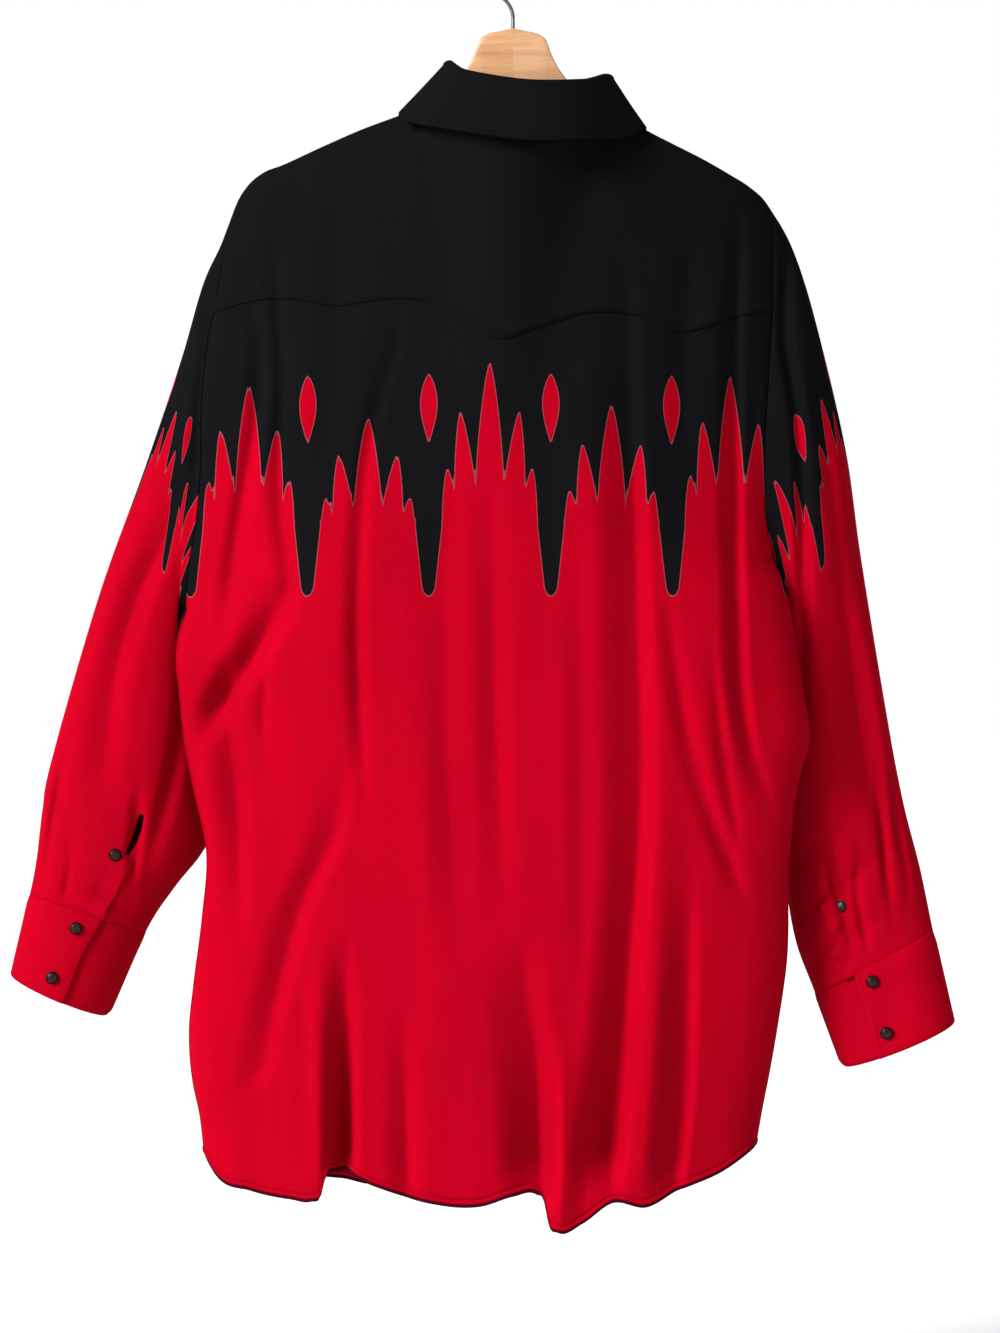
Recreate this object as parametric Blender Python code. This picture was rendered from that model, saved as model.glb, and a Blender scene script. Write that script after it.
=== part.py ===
"""A long-sleeved western shirt, size 2XL tall, on a contoured wooden coat hanger.

Frame: +Z up, +X the wearer's left, +Y the wearer's back, metres. The origin is the underside
of the hook's top, the point that rests on a rail. Tables are in millimetres, one row for each
section, with their columns named; everything else is worked out from them.

Every cloth piece is cut from one set of body and sleeve surfaces, so that two pieces that are
sewn together share the points of their seam. A piece is then a wall: its outer face is drawn
back a little from each seam, and its inner face lies one thickness inside the outer one.
"""
import math

import bmesh
import bpy
import numpy as np
from mathutils import Matrix

MM = 0.001

# ------------------------------------------------------------------ driving sizes, in metres
CLOTH = 1.4 * MM            # one layer of cotton with its seams
FIRM = 2.2 * MM             # collar, cuffs and plackets: two layers with a stiffener
ROLLED = 2.4 * MM           # the rolled hem
SEAM_GAP = 0.4 * MM         # clear space between two pieces at a seam
LAID_GAP = 0.4 * MM         # clear space under a piece that lies on a panel
HEM_HEIGHT = 5.0 * MM
NECK_HALF = 80 * MM         # half the neck opening, across
NECK_BACK, NECK_FRONT = 55 * MM, 60 * MM        # neck opening behind and before the shoulders
NECK_TOP = -134 * MM        # height of the shoulder's inner end
NECK_DROP_BACK, NECK_DROP_FRONT = 23 * MM, 64 * MM
ARCH = 420 * MM             # drop over which the cloth leaves the hanger for its full depth
OVERLAP = 18 * MM           # each front passes the middle by this much
FRONT_LIFT = 3.4 * MM       # the left front lies over the right one
SHOULDER_FORWARD = 34 * MM  # the hanger carries the armholes this far forward
UNDERARM_Y = -13 * MM
SNAP_RADIUS, SNAP_HEIGHT = 5.6 * MM, 2.6 * MM
PLACKET_HALF = 17 * MM
WOOD_GAP = 3.6 * MM         # from the cloth's outer ridge down to the wood
WOOD_HALF = 6.5 * MM        # half the hanger's thickness
WIRE_RADIUS = 1.6 * MM
HOOK_INNER = 20 * MM

# grid of the panels
SHOULDER_COLUMNS = {1: 11, -1: 9}
NECK_COLUMNS = 10
FRONT_NECK_COLUMNS = 5
ROWS_TO_UNDERARM = 15
YOKE_ROW, WRAP_ROW, JOIN_ROW = 5, 3, 11
LOWER_ROWS = 10
SLEEVE_STEPS, SLEEVE_SPLIT, SLEEVE_SPACING = 14, 7, 1.35


def table(names, *rows, key_unit=MM):
    """Named columns of a table in millimetres, as metres, ordered by the first column."""
    columns = dict(zip(names.split(), np.array(sorted(rows), dtype=float).T * MM))
    first = names.split()[0]
    columns[first] = columns[first] / MM * key_unit
    columns["key"] = columns[first]
    return columns


def read(columns, name, at):
    """Smooth curve through one column of a table, read at the given keys."""
    keys, values = columns["key"], columns[name]
    slopes = np.gradient(values, keys)
    at = np.clip(np.asarray(at, dtype=float), keys[0], keys[-1])
    i = np.clip(np.searchsorted(keys, at) - 1, 0, len(keys) - 2)
    step = keys[i + 1] - keys[i]
    t = (at - keys[i]) / step
    start = (1 + 2 * t) * (1 - t) ** 2 * values[i] + t * (1 - t) ** 2 * step * slopes[i]
    end = t * t * (3 - 2 * t) * values[i + 1] + t * t * (t - 1) * step * slopes[i + 1]
    return start + end


def ease(value):
    """Smooth step from 0 to 1."""
    value = np.clip(value, 0, 1)
    return value * value * (3 - 2 * value)


# ------------------------------------------------------------------ the body's outline
# Sides are named by their sign: 1 is the wearer's left, -1 the wearer's right.
ARMHOLE_TOP = {1: (250 * MM, -232 * MM), -1: (-229 * MM, -222 * MM)}        # x, height
UNDERARM_HEIGHT = {1: -571 * MM, -1: -526 * MM}
NECK_SHARE = {1: 0.28, -1: -0.39}       # where the neck opening ends, as a share of the width

BODY_EDGE = {
    1: table("height x",
             (-232, 250), (-260, 253), (-295, 257), (-332, 265), (-396, 271), (-444, 271),
             (-494, 275), (-539, 283), (-571, 286), (-592, 291), (-616, 293), (-645, 290),
             (-689, 285), (-728, 277), (-780, 266), (-842, 270), (-896, 277), (-937, 281),
             (-981, 278), (-1010, 272), (-1045, 268)),
    -1: table("height x",
              (-222, -229), (-245, -228), (-304, -227), (-364, -223), (-444, -219), (-498, -221),
              (-526, -228), (-545, -235), (-583, -243), (-642, -252), (-690, -257),
              (-712, -250), (-780, -240), (-881, -237), (-930, -230), (-971, -223),
              (-1007, -216), (-1036, -211)),
}
SHOULDER_LINE = {
    1: table("x height", (80, -134), (100, -142), (130, -152.5), (166, -167), (202, -182),
             (220, -188.5), (234, -200), (242, -212), (250, -232)),
    -1: table("x height", (-80, -134), (-100, -145), (-118, -155), (-140, -165.5), (-169, -179),
              (-190, -190), (-209, -201), (-221, -211), (-229, -222)),
}
YOKE_SEAM = table("x height",
                  (256, -312), (219, -303), (190, -303), (149, -310), (100, -305), (75, -307),
                  (40, -322), (4, -341), (-25, -331), (-70, -317), (-110, -319), (-151, -332),
                  (-170, -327), (-190, -319), (-227, -309))
BACK_HEM = table("x height",
                 (268, -1043), (256, -1060), (225, -1071), (180, -1077), (165, -1070),
                 (150, -1055), (119, -1064), (79, -1077), (27, -1082), (-6, -1073), (-20, -1078),
                 (-38, -1104), (-59, -1096), (-84, -1079), (-114, -1083), (-139, -1071),
                 (-180, -1055), (-211, -1036))
FRONT_HEM = table("x height",
                  (268, -1043), (245, -1062), (190, -1072), (120, -1080), (30, -1084),
                  (-60, -1082), (-140, -1070), (-185, -1054), (-211, -1036))
JOIN_HEIGHT = {1: -520 * MM, -1: -492 * MM}
WRAP_DROP = {1: 32 * MM, -1: 29 * MM}       # the yoke comes this far over the shoulder

# depth of the body: its middle in front and behind, and its side seam
BODY_DEPTH = table("height back front",
                   (-150, 56, -62), (-300, 62, -70), (-560, 66, -74), (-800, 66, -74),
                   (-1110, 62, -70))
SIDE_DEPTH = table("drop y", (-1, -13), (0, -13), (12, -9), (30, 0), (70, 5), (150, 10),
                   (230, 14), (330, 12), (560, 8))
ARMHOLE_BACK, ARMHOLE_FRONT = 18 * MM, -76 * MM

# The largest folds of the back: three points of the valley's line, the depth at each, and how
# far the valley reaches to the wearer's left and right. A negative depth is a ridge.
FOLD_COLUMNS = "x1 z1 x2 z2 x3 z3 depth1 depth2 depth3 left right"
BACK_FOLDS = (
    (-97, -300, -106, -640, -86, -1060, 3, 14, 27, 38, 17),
    (143, -850, 142, -950, 143, -1075, 0, 18, 28, 24, 17),
    (138, -650, 176, -818, 236, -1000, 0, 15, 4, 24, 18),
    (-195, -240, -192, -500, -221, -740, 5, 10, 4, 20, 16),
    (-4, -820, -18, -950, -24, -1090, 0, 12, 22, 42, 20),
    (-151, -780, -148, -910, -138, -1070, 0, 8, 12, 28, 17),
    (245, -700, 240, -790, 236, -860, 0, 10, 2, 24, 16),
    (191, -540, 222, -615, 268, -690, 0, 12, 4, 20, 18),
    (212, -215, 200, -380, 188, -560, 3, 9, 5, 18, 18),
    (231, -290, 221, -400, 246, -560, 3, 9, 6, 17, 17),
)
FRONT_FOLDS = (
    (120, -420, 112, -720, 128, -1080, 0, 12, 22, 26, 34),
    (190, -240, 186, -480, 196, -700, 4, 12, 3, 22, 22),
    (-110, -380, -104, -700, -90, -1080, 0, 14, 24, 34, 24),
    (-180, -240, -176, -460, -190, -690, 4, 11, 3, 22, 22),
    (52, -760, 56, -900, 60, -1090, 0, 8, 14, 22, 22),
)


def folded(x, z, folds):
    """How far the folds draw the cloth in from its smooth form."""
    depth = np.zeros_like(x)
    for row in folds:
        fold = dict(zip(FOLD_COLUMNS.split(), np.array(row) * MM))
        line = table("z x depth", *[[row[i + 1], row[i], row[6 + i // 2]] for i in (0, 2, 4)])
        off = x - read(line, "x", z)
        reach = np.where(off > 0, fold["left"], fold["right"])
        bell = 0.5 + 0.5 * np.cos(np.pi * np.clip(off / reach, -1, 1))
        above = ease((line["key"][-1] + 45 * MM - z) / (60 * MM))
        below = ease((z - line["key"][0] + 45 * MM) / (60 * MM))
        depth += bell * above * below * read(line, "depth", z)
    return depth


def edge(side, height):
    return read(BODY_EDGE[side], "x", height)


def across(columns, share):
    """Height of a line that runs across the body, at shares of the width."""
    low, high = columns["key"][0], columns["key"][-1]
    return read(columns, "height", low + (share + 1) / 2 * (high - low))


def between_sides(pair, share):
    """A value that changes evenly from the right side's to the left side's."""
    return pair[-1] + (pair[1] - pair[-1]) * (share + 1) / 2


def top_line(share, face):
    """Points of the panels' upper edge: the shoulder lines and the neck opening.

    face is 1 for the back and -1 for the front.
    """
    points = np.zeros((len(share), 3))
    middle = (NECK_SHARE[1] + NECK_SHARE[-1]) / 2
    for i, value in enumerate(share):
        side = 1 if value >= middle else -1
        if abs(value) >= abs(NECK_SHARE[side]) and value * side > 0:
            out = (value - NECK_SHARE[side]) / (side - NECK_SHARE[side])
            x = side * NECK_HALF + (ARMHOLE_TOP[side][0] - side * NECK_HALF) * out
            points[i] = (x, -SHOULDER_FORWARD * out ** 1.6, read(SHOULDER_LINE[side], "height", x))
        else:
            angle = neck_angle(value, face)
            points[i] = neckline(angle)
    return points


def neck_angle(share, face):
    """Angle round the neck opening of each column, 0 and pi on the shoulders beside it."""
    part = (NECK_SHARE[1] - share) / (NECK_SHARE[1] - NECK_SHARE[-1])
    return face * math.pi * np.clip(part, 0, 1)


def neckline(angle):
    """Point of the neck opening's edge; positive angles lie behind, negative ones in front."""
    behind = math.sin(angle) > 0
    reach = NECK_BACK if behind else NECK_FRONT
    drop = NECK_DROP_BACK if behind else NECK_DROP_FRONT
    height = NECK_TOP - drop * math.sin(angle) ** 2
    return np.array((NECK_HALF * math.cos(angle), reach * math.sin(angle), height))


def body_y(face, x, z, share, top, folds):
    """Depth of a body panel at the points (x, z) below the top line's points."""
    y = np.zeros_like(x)
    for side in (1, -1):
        mine = share * side >= 0
        drop = ARMHOLE_TOP[side][1] - z[mine]
        part = np.clip(drop / (ARMHOLE_TOP[side][1] - UNDERARM_HEIGHT[side]), 0, 1)
        armhole = ARMHOLE_BACK if face > 0 else ARMHOLE_FRONT
        seam = read(SIDE_DEPTH, "y", UNDERARM_HEIGHT[side] - z[mine])
        edge_y = seam + (armhole - UNDERARM_Y) * np.sqrt(1 - part ** 4)
        middle = read(BODY_DEPTH, "back" if face > 0 else "front", z[mine])
        roundness = 1 - 0.5 * part ** 6
        bulge = (1 - np.abs(share[mine]) ** 2.4) ** roundness
        y[mine] = edge_y + (middle - edge_y) * bulge
    fade = 1 - np.abs(share) ** 16
    y -= face * fade * folded(x, z, folds)
    drop = np.clip((top[..., 2] - z) / ARCH, 0, 1)
    arch = np.sin(np.pi / 2 * drop) ** (0.5 + 0.5 * np.abs(np.sin(neck_angle(share, face))))
    return top[..., 1] + (y - top[..., 1]) * arch


def level_shares(first_key, last_key):
    """Shares of the way between two key rows, spaced as on a round armhole."""
    height = [(1 - math.cos(math.pi * i / ROWS_TO_UNDERARM)) / 2
              for i in range(first_key, last_key + 1)]
    return [(h - height[0]) / (height[-1] - height[0]) for h in height]


def row_heights(share, top, lines):
    """Heights of all rows of a panel, from its key lines."""
    heights = []
    keys = [0] + [row for row, _ in lines]
    levels = [top[:, 2]] + [level for _, level in lines]
    for first, last, upper, lower in zip(keys, keys[1:], levels, levels[1:]):
        if last <= ROWS_TO_UNDERARM:
            steps = level_shares(first, last)
        else:
            steps = [(i / (last - first)) ** 1.5 for i in range(last - first + 1)]
        heights += [upper + (lower - upper) * step for step in steps[(1 if heights else 0):]]
    return np.array(heights)


def panel(face, share, first_x, first_row, lines, folds):
    """Grid of a body panel: rows from the top line down to the hem, columns across.

    first_x holds each column's place across as a function of height; above first_row the
    columns lean in to the top line.
    """
    top = top_line(share, face)
    heights = row_heights(share, top, lines)
    x = np.array([first_x(row) for row in heights])
    lean = (top[:, 2] - heights[:first_row + 1]) / (top[:, 2] - heights[first_row])
    x[:first_row + 1] = top[:, 0] + (x[first_row] - top[:, 0]) * lean
    top_rows = np.broadcast_to(top, heights.shape + (3,))
    shares = np.broadcast_to(share, heights.shape)
    y = body_y(face, x, heights, shares, top_rows, folds)
    return np.stack((x, y, heights), axis=-1)


def shoulder_shares(side):
    """Columns from the neck opening's end out to the armhole."""
    return np.linspace(NECK_SHARE[side], side, SHOULDER_COLUMNS[side] + 1)


def underarm_line(share):
    return between_sides(UNDERARM_HEIGHT, share) - 12 * MM * (1 - share ** 2)


def back_grid():
    """The whole back, from the shoulder lines to the hem."""
    neck = np.linspace(NECK_SHARE[-1], NECK_SHARE[1], NECK_COLUMNS + 1)
    share = np.concatenate((shoulder_shares(-1)[::-1], neck[1:-1], shoulder_shares(1)))
    hem = across(BACK_HEM, share)
    lines = ((YOKE_ROW, across(YOKE_SEAM, share)),
             (JOIN_ROW, between_sides(JOIN_HEIGHT, share)),
             (ROWS_TO_UNDERARM, underarm_line(share)),
             (ROWS_TO_UNDERARM + LOWER_ROWS, hem + HEM_HEIGHT),
             (ROWS_TO_UNDERARM + LOWER_ROWS + 1, hem))

    def place(height):
        return edge(-1, height) + (edge(1, height) - edge(-1, height)) * (share + 1) / 2

    return panel(1, share, place, YOKE_ROW, lines, BACK_FOLDS), share


def share_above(x):
    """Share of the width of a column that meets the front neckline at x."""
    part = math.acos(x / NECK_HALF) / math.pi
    return NECK_SHARE[1] + (NECK_SHARE[-1] - NECK_SHARE[1]) * part


def lifted_front(x):
    """How far the left front stands forward, over the right one."""
    return FRONT_LIFT * ease((70 * MM - x) / (40 * MM))


def front_grid(side):
    """One front, from its shoulder line and neckline to the hem, armhole first.

    The last three columns stand at the same places on both fronts, where they overlap.
    """
    last = [share_above(x) for x in (side * OVERLAP, 0, -side * OVERLAP)]
    neck = np.linspace(NECK_SHARE[side], last[0], FRONT_NECK_COLUMNS + 1)
    share = np.concatenate((shoulder_shares(side)[::-1], neck[1:], last[1:]))
    across_share = np.clip((share - side) / (last[0] - side), 0, 1)
    beyond = np.zeros(len(share))
    beyond[-2:] = (-side * OVERLAP, -2 * side * OVERLAP)
    hem = across(FRONT_HEM, share)
    shoulder = top_line(share, -1)[:, 2]
    wrap = shoulder - between_sides(WRAP_DROP, share)
    lines = ((WRAP_ROW, wrap),
             (JOIN_ROW, between_sides(JOIN_HEIGHT, share)),
             (ROWS_TO_UNDERARM, underarm_line(share)),
             (ROWS_TO_UNDERARM + LOWER_ROWS, hem + HEM_HEIGHT),
             (ROWS_TO_UNDERARM + LOWER_ROWS + 1, hem))

    def place(height):
        outer = edge(side, height)
        return outer + (side * OVERLAP - outer) * across_share + beyond

    grid = panel(-1, share, place, WRAP_ROW, lines, FRONT_FOLDS)
    if side > 0:
        grid[..., 1] -= lifted_front(grid[..., 0])
    return grid, share


# ------------------------------------------------------------------ the sleeves
# Sections from the armhole to the cuff's edge: the outer end, the inner end, their depths,
# and half the section's thickness. Station 8 is the cuff's seam and 9 the cuff's edge.
SLEEVE = {
    1: table("station out_x out_z in_x in_z out_y in_y half",
             (0, 250, -232, 286, -571, -34, -13, 36), (0.5, 258, -252, 290, -580, -36, -18, 37),
             (1, 270, -277, 293, -592, -37, -24, 38), (2, 292, -351, 293, -632, -36, -38, 40),
             (3, 324, -447, 284, -680, -34, -50, 41), (4, 364, -559, 270, -726, -32, -55, 41),
             (5, 406, -704, 268, -768, -32, -50, 38), (6, 414, -748, 276, -788, -32, -46, 36),
             (7, 419, -790, 299, -817, -32, -42, 34), (8, 425, -822, 323, -854, -32, -38, 31),
             (9, 441, -891, 356, -928, -32, -36, 29),
             key_unit=1),
    -1: table("station out_x out_z in_x in_z out_y in_y half",
              (0, -229, -222, -228, -526, -34, -13, 36),
              (0.5, -238, -236, -235, -536, -36, -18, 37),
              (1, -246, -252, -240, -550, -37, -24, 38), (2, -265, -311, -242, -596, -36, -38, 40),
              (3, -293, -426, -238, -655, -34, -50, 41), (4, -308, -525, -231, -704, -32, -55, 41),
              (5, -330, -658, -234, -760, -32, -50, 38), (6, -345, -739, -241, -812, -32, -46, 36),
              (7, -360, -800, -250, -864, -32, -42, 34), (8, -371, -856, -266, -908, -32, -38, 31),
              (9, -388, -933, -290, -973, -32, -36, 29),
              key_unit=1),
}


def sleeve_point(side, station, angle):
    """Points of the sleeve's surface; angle 0 is the outer edge and pi the inner one."""
    part = (1 - np.cos(angle)) / 2
    value = {name: read(SLEEVE[side], name, station) for name in SLEEVE[side]}
    x = value["out_x"] + (value["in_x"] - value["out_x"]) * part
    z = value["out_z"] + (value["in_z"] - value["out_z"]) * part
    y = value["out_y"] + (value["in_y"] - value["out_y"]) * part + value["half"] * np.sin(angle)
    return np.stack(np.broadcast_arrays(x, y, z), axis=-1)


def armhole_ring(side, back, front):
    """The armhole's points: down the back from the shoulder, then up the front."""
    column = -1 if side > 0 else 0
    behind = back[:ROWS_TO_UNDERARM + 1, column]
    before = front[1:ROWS_TO_UNDERARM, 0]
    return np.concatenate((behind, before[::-1]))


def sleeve_grid(side, back, front):
    """A sleeve as rings, from the armhole's own points to the cuff's seam."""
    ring = armhole_ring(side, back, front)
    top, under = ARMHOLE_TOP[side][1], UNDERARM_HEIGHT[side]
    part = np.clip((top - ring[:, 2]) / (top - under), 0, 1)
    angle = np.arccos(1 - 2 * part)
    angle[ROWS_TO_UNDERARM + 1:] = 2 * math.pi - angle[ROWS_TO_UNDERARM + 1:]
    stations = 8 * np.linspace(0, 1, SLEEVE_STEPS + 1) ** SLEEVE_SPACING
    rings = np.array([sleeve_point(side, station, angle) for station in stations])
    seam = ring - rings[0]
    even = np.linspace(0, 2 * math.pi, len(ring), endpoint=False)
    for i, station in enumerate(stations):
        settled = ease(station / 5)
        turned = angle + (even - angle) * settled
        fade = (1 - min(station / 3, 1)) ** 2
        rings[i] = sleeve_point(side, station, turned) + seam * fade
    return rings


# ------------------------------------------------------------------ walls from cells
def cells_of(grid, rows=None, columns=None, closed=False):
    """Four-cornered cells between the given rows and columns of a grid of points."""
    rows = rows or (0, len(grid) - 1)
    width = grid.shape[1]
    columns = columns or (0, width if closed else width - 1)
    cells = []
    for i in range(rows[0], rows[1]):
        for j in range(columns[0], columns[1]):
            k = (j + 1) % width
            cells.append((grid[i, j], grid[i, k], grid[i + 1, k], grid[i + 1, j]))
    return cells


def turned_over(cells):
    return [cell[::-1] for cell in cells]


def key_of(point):
    return tuple(int(round(value / (0.001 * MM))) for value in point)


def welded(cells):
    """Points and faces of a sheet, with the cells' shared corners made one."""
    index, points, faces = {}, [], []
    for cell in cells:
        face = []
        for corner in cell:
            key = key_of(corner)
            if key not in index:
                index[key] = len(points)
                points.append(np.array(corner))
            face.append(index[key])
        faces.append(face)
    return np.array(points), faces


def add_normals(cells, store):
    """Adds each cell's normal to its corners, so that sewn pieces share one at a seam."""
    for cell in cells:
        normal = np.cross(cell[2] - cell[0], cell[3] - cell[1])
        normal /= np.linalg.norm(normal)
        for corner in cell:
            key = key_of(corner)
            store[key] = store.get(key, 0) + normal


def boundary_edges(faces):
    """Directed edges that belong to one face only."""
    edges = set()
    for face in faces:
        for a, b in zip(face, face[1:] + face[:1]):
            if (b, a) in edges:
                edges.remove((b, a))
            else:
                edges.add((a, b))
    return edges


def wall(name, cells, thickness, finish, store=None, lift=0.0):
    """A closed wall: the cells are its outer face, trimmed by half a seam's gap."""
    store = store if store is not None else {}
    if not store:
        add_normals(cells, store)
    points, faces = welded(cells)
    normals = np.array([store[key_of(point)] for point in points])
    normals /= np.linalg.norm(normals, axis=1)[:, None]
    rim = boundary_edges(faces)
    inward = {}
    outer = points + normals * lift
    for a, b in rim:
        way = np.cross(normals[a] + normals[b], points[b] - points[a])
        way /= np.linalg.norm(way)
        for corner in (a, b):
            inward.setdefault(corner, []).append(way)
    for corner, ways in inward.items():
        mean = np.mean(ways, axis=0)
        outer[corner] += mean / max(mean.dot(mean), 0.4) * SEAM_GAP / 2
    inner = outer - normals * thickness
    count = len(points)
    solid = []
    for start, *others in faces:
        # Both sides of the wall are split along the same diagonals, so it is nowhere thinner.
        for b, c in zip(others, others[1:]):
            solid += [[start, b, c], [start + count, c + count, b + count]]
    for a, b in sorted(rim):
        # Both pieces at a seam split their rims along the same diagonal, so the rims never cross.
        if key_of(points[a]) < key_of(points[b]):
            solid += [[b, a, b + count], [a, a + count, b + count]]
        else:
            solid += [[b, a, a + count], [b, a + count, b + count]]
    return add_object(name, np.concatenate((outer, inner)).tolist(), solid, finish)


# ------------------------------------------------------------------ finishes and objects
FINISHES = {
    "black_cotton": ((0.012, 0.012, 0.013), 0.85, 0.0),
    "red_cotton": ((0.62, 0.004, 0.014), 0.8, 0.0),
    "smoke_snap": ((0.02, 0.018, 0.02), 0.25, 0.0),
    "beech": ((0.73, 0.43, 0.22), 0.45, 0.0),
    "steel_wire": ((0.6, 0.6, 0.61), 0.25, 1.0),
}


def finish_of(name):
    """The named Principled material, made once."""
    material = bpy.data.materials.get(name)
    if material is None:
        colour, roughness, metallic = FINISHES[name]
        material = bpy.data.materials.new(name)
        material.use_nodes = True
        shader = material.node_tree.nodes["Principled BSDF"]
        shader.inputs["Base Color"].default_value = (*colour, 1)
        shader.inputs["Roughness"].default_value = roughness
        shader.inputs["Metallic"].default_value = metallic
    return material


def add_object(name, points, faces, finish):
    mesh = bpy.data.meshes.new(name)
    mesh.from_pydata(points, [], faces)
    mesh.materials.append(finish_of(finish))
    mesh.shade_smooth()
    mesh.set_sharp_from_angle(angle=math.radians(50))
    thing = bpy.data.objects.new(name, mesh)
    bpy.context.scene.collection.objects.link(thing)
    return thing


def clear_scene():
    for thing in list(bpy.data.objects):
        bpy.data.objects.remove(thing, do_unlink=True)


# ------------------------------------------------------------------ body and sleeves
def panels():
    """Cells of every panel that is sewn to another, by name, with their finish.

    Also gives the grids of the fronts and the sleeves, for the pieces that lie on them.
    """
    back, share = back_grid()
    front = {side: front_grid(side)[0] for side in (1, -1)}
    sleeves = {side: sleeve_grid(side, back, front[side]) for side in (1, -1)}
    hem_row = ROWS_TO_UNDERARM + LOWER_ROWS
    yoke = cells_of(back, (0, YOKE_ROW))
    parts = {
        "back_upper": (cells_of(back, (YOKE_ROW, JOIN_ROW)), "black_cotton", CLOTH),
        "back_lower": (cells_of(back, (JOIN_ROW, hem_row)), "red_cotton", CLOTH),
        "hem_back": (cells_of(back, (hem_row, hem_row + 1)), "red_cotton", ROLLED),
    }
    for side, word in ((1, "left"), (-1, "right")):
        grid = front[side]
        shoulder = SHOULDER_COLUMNS[side]
        last = grid.shape[1] - 1
        upper = cells_of(grid, (WRAP_ROW, JOIN_ROW), (0, shoulder))
        upper += cells_of(grid, (0, JOIN_ROW), (shoulder, last))
        turn = turned_over if side < 0 else list
        wrap = turn(cells_of(grid, (0, WRAP_ROW), (0, shoulder)))
        yoke += wrap
        sleeve = sleeves[side]
        around = turned_over if side > 0 else list
        parts["front_%s_upper" % word] = (turn(upper), "black_cotton", CLOTH)
        lower = turn(cells_of(grid, (JOIN_ROW, hem_row)))
        parts["front_%s_lower" % word] = (lower, "red_cotton", CLOTH)
        hem = turn(cells_of(grid, (hem_row, hem_row + 1)))
        parts["hem_%s" % word] = (hem, "red_cotton", ROLLED)
        upper_sleeve = around(cells_of(sleeve, (0, SLEEVE_SPLIT), closed=True))
        parts["sleeve_%s_upper" % word] = (upper_sleeve, "black_cotton", CLOTH)
        lower_sleeve = around(cells_of(sleeve, (SLEEVE_SPLIT, SLEEVE_STEPS), closed=True))
        parts["sleeve_%s_lower" % word] = (lower_sleeve, "red_cotton", CLOTH)
    parts["yoke"] = (yoke, "black_cotton", CLOTH)
    return parts, front, sleeves


def make_panels():
    parts, front, sleeves = panels()
    store = {}
    for cells, _, _ in parts.values():
        add_normals(cells, store)
    for name, (cells, finish, thickness) in parts.items():
        lift = (thickness - CLOTH) / 2
        wall(name, cells, thickness, finish, store, lift)
    return front, sleeves


# ------------------------------------------------------------------ collar
# Line of the fold, by the angle round the neck; 0 is the wearer's left and 90 the back.
COLLAR_FOLD = table("angle x y z",
                    (-104, -18, -63, -169), (-90, -3, -64, -165), (-45, 50, -44, -130),
                    (0, 58, 0, -96), (45, 41, 38, -109), (90, -10, 52, -119.5),
                    (135, -60, 38, -117), (180, -85, 0, -108), (225, -63, -42, -140),
                    (270, -5, -62, -167), (284, 17, -61, -170), key_unit=1)
# Lower edge of the leaf; its two ends are the points in front.
COLLAR_EDGE = table("angle x y z",
                    (-84, 58, -72, -240), (-60, 88, -52, -205), (-30, 100, -30, -165),
                    (-12, 102, -12, -143.5), (0, 101, 2, -136.5), (30, 92, 26, -150),
                    (60, 49, 57, -164), (90, -10, 66, -174), (120, -60, 57, -171.5),
                    (150, -98, 26, -163.5), (180, -116, 2, -148.5), (192, -116, -12, -153.5),
                    (210, -111, -30, -168), (240, -92, -52, -207), (264, -60, -72, -242),
                    key_unit=1)
LEAF_ANGLES = np.concatenate(([-84], np.linspace(-72, 252, 28), [264]))
FOLD_RISE = 3.4 * MM        # the fold stands this far above the stand's edge
FOLD_OUT = 3.2 * MM         # and the leaf this far outside the stand


def point_at(columns, angle):
    return np.array([float(read(columns, name, angle)) for name in ("x", "y", "z")])


def stand_lift(angle):
    """Moves the left end of the collar forward, over the right end, as the fronts do."""
    if angle >= 90:
        return np.zeros(3)
    x = NECK_HALF * math.cos(math.radians(max(angle, -103)))
    return np.array((0, -float(lifted_front(x)) * ease(-angle / 30), 0))


def stand_angles():
    """The angles of the panels' own columns along the neck seam, so that the two fit."""
    end = math.degrees(math.acos(OVERLAP / NECK_HALF))
    left = np.linspace(-end, 0, FRONT_NECK_COLUMNS + 1)
    back = np.linspace(0, 180, NECK_COLUMNS + 1)
    right = np.linspace(180, 180 + end, FRONT_NECK_COLUMNS + 1)
    return np.concatenate(([end - 180, -90], left, back[1:], right[1:], [270, 360 - end]))


def collar_stand():
    """The band round the neck, from the neck seam up to just below the fold."""
    rows = []
    for angle in stand_angles():
        seam = neckline(math.radians(angle))
        fold = point_at(COLLAR_FOLD, angle) - (0, 0, FOLD_RISE)
        steps = (0, 0.5, 1)
        rows.append([seam + (fold - seam) * step + stand_lift(angle) for step in steps])
    grid = np.array(rows).transpose(1, 0, 2)
    return wall("collar_stand", cells_of(grid), FIRM, "black_cotton")


def outward(columns, angle):
    """Level direction that points away from the neck, square to a curve."""
    before, after = point_at(columns, angle - 2), point_at(columns, angle + 2)
    along = after - before
    way = np.array((along[1], -along[0], 0))
    return way / np.linalg.norm(way)


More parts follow.
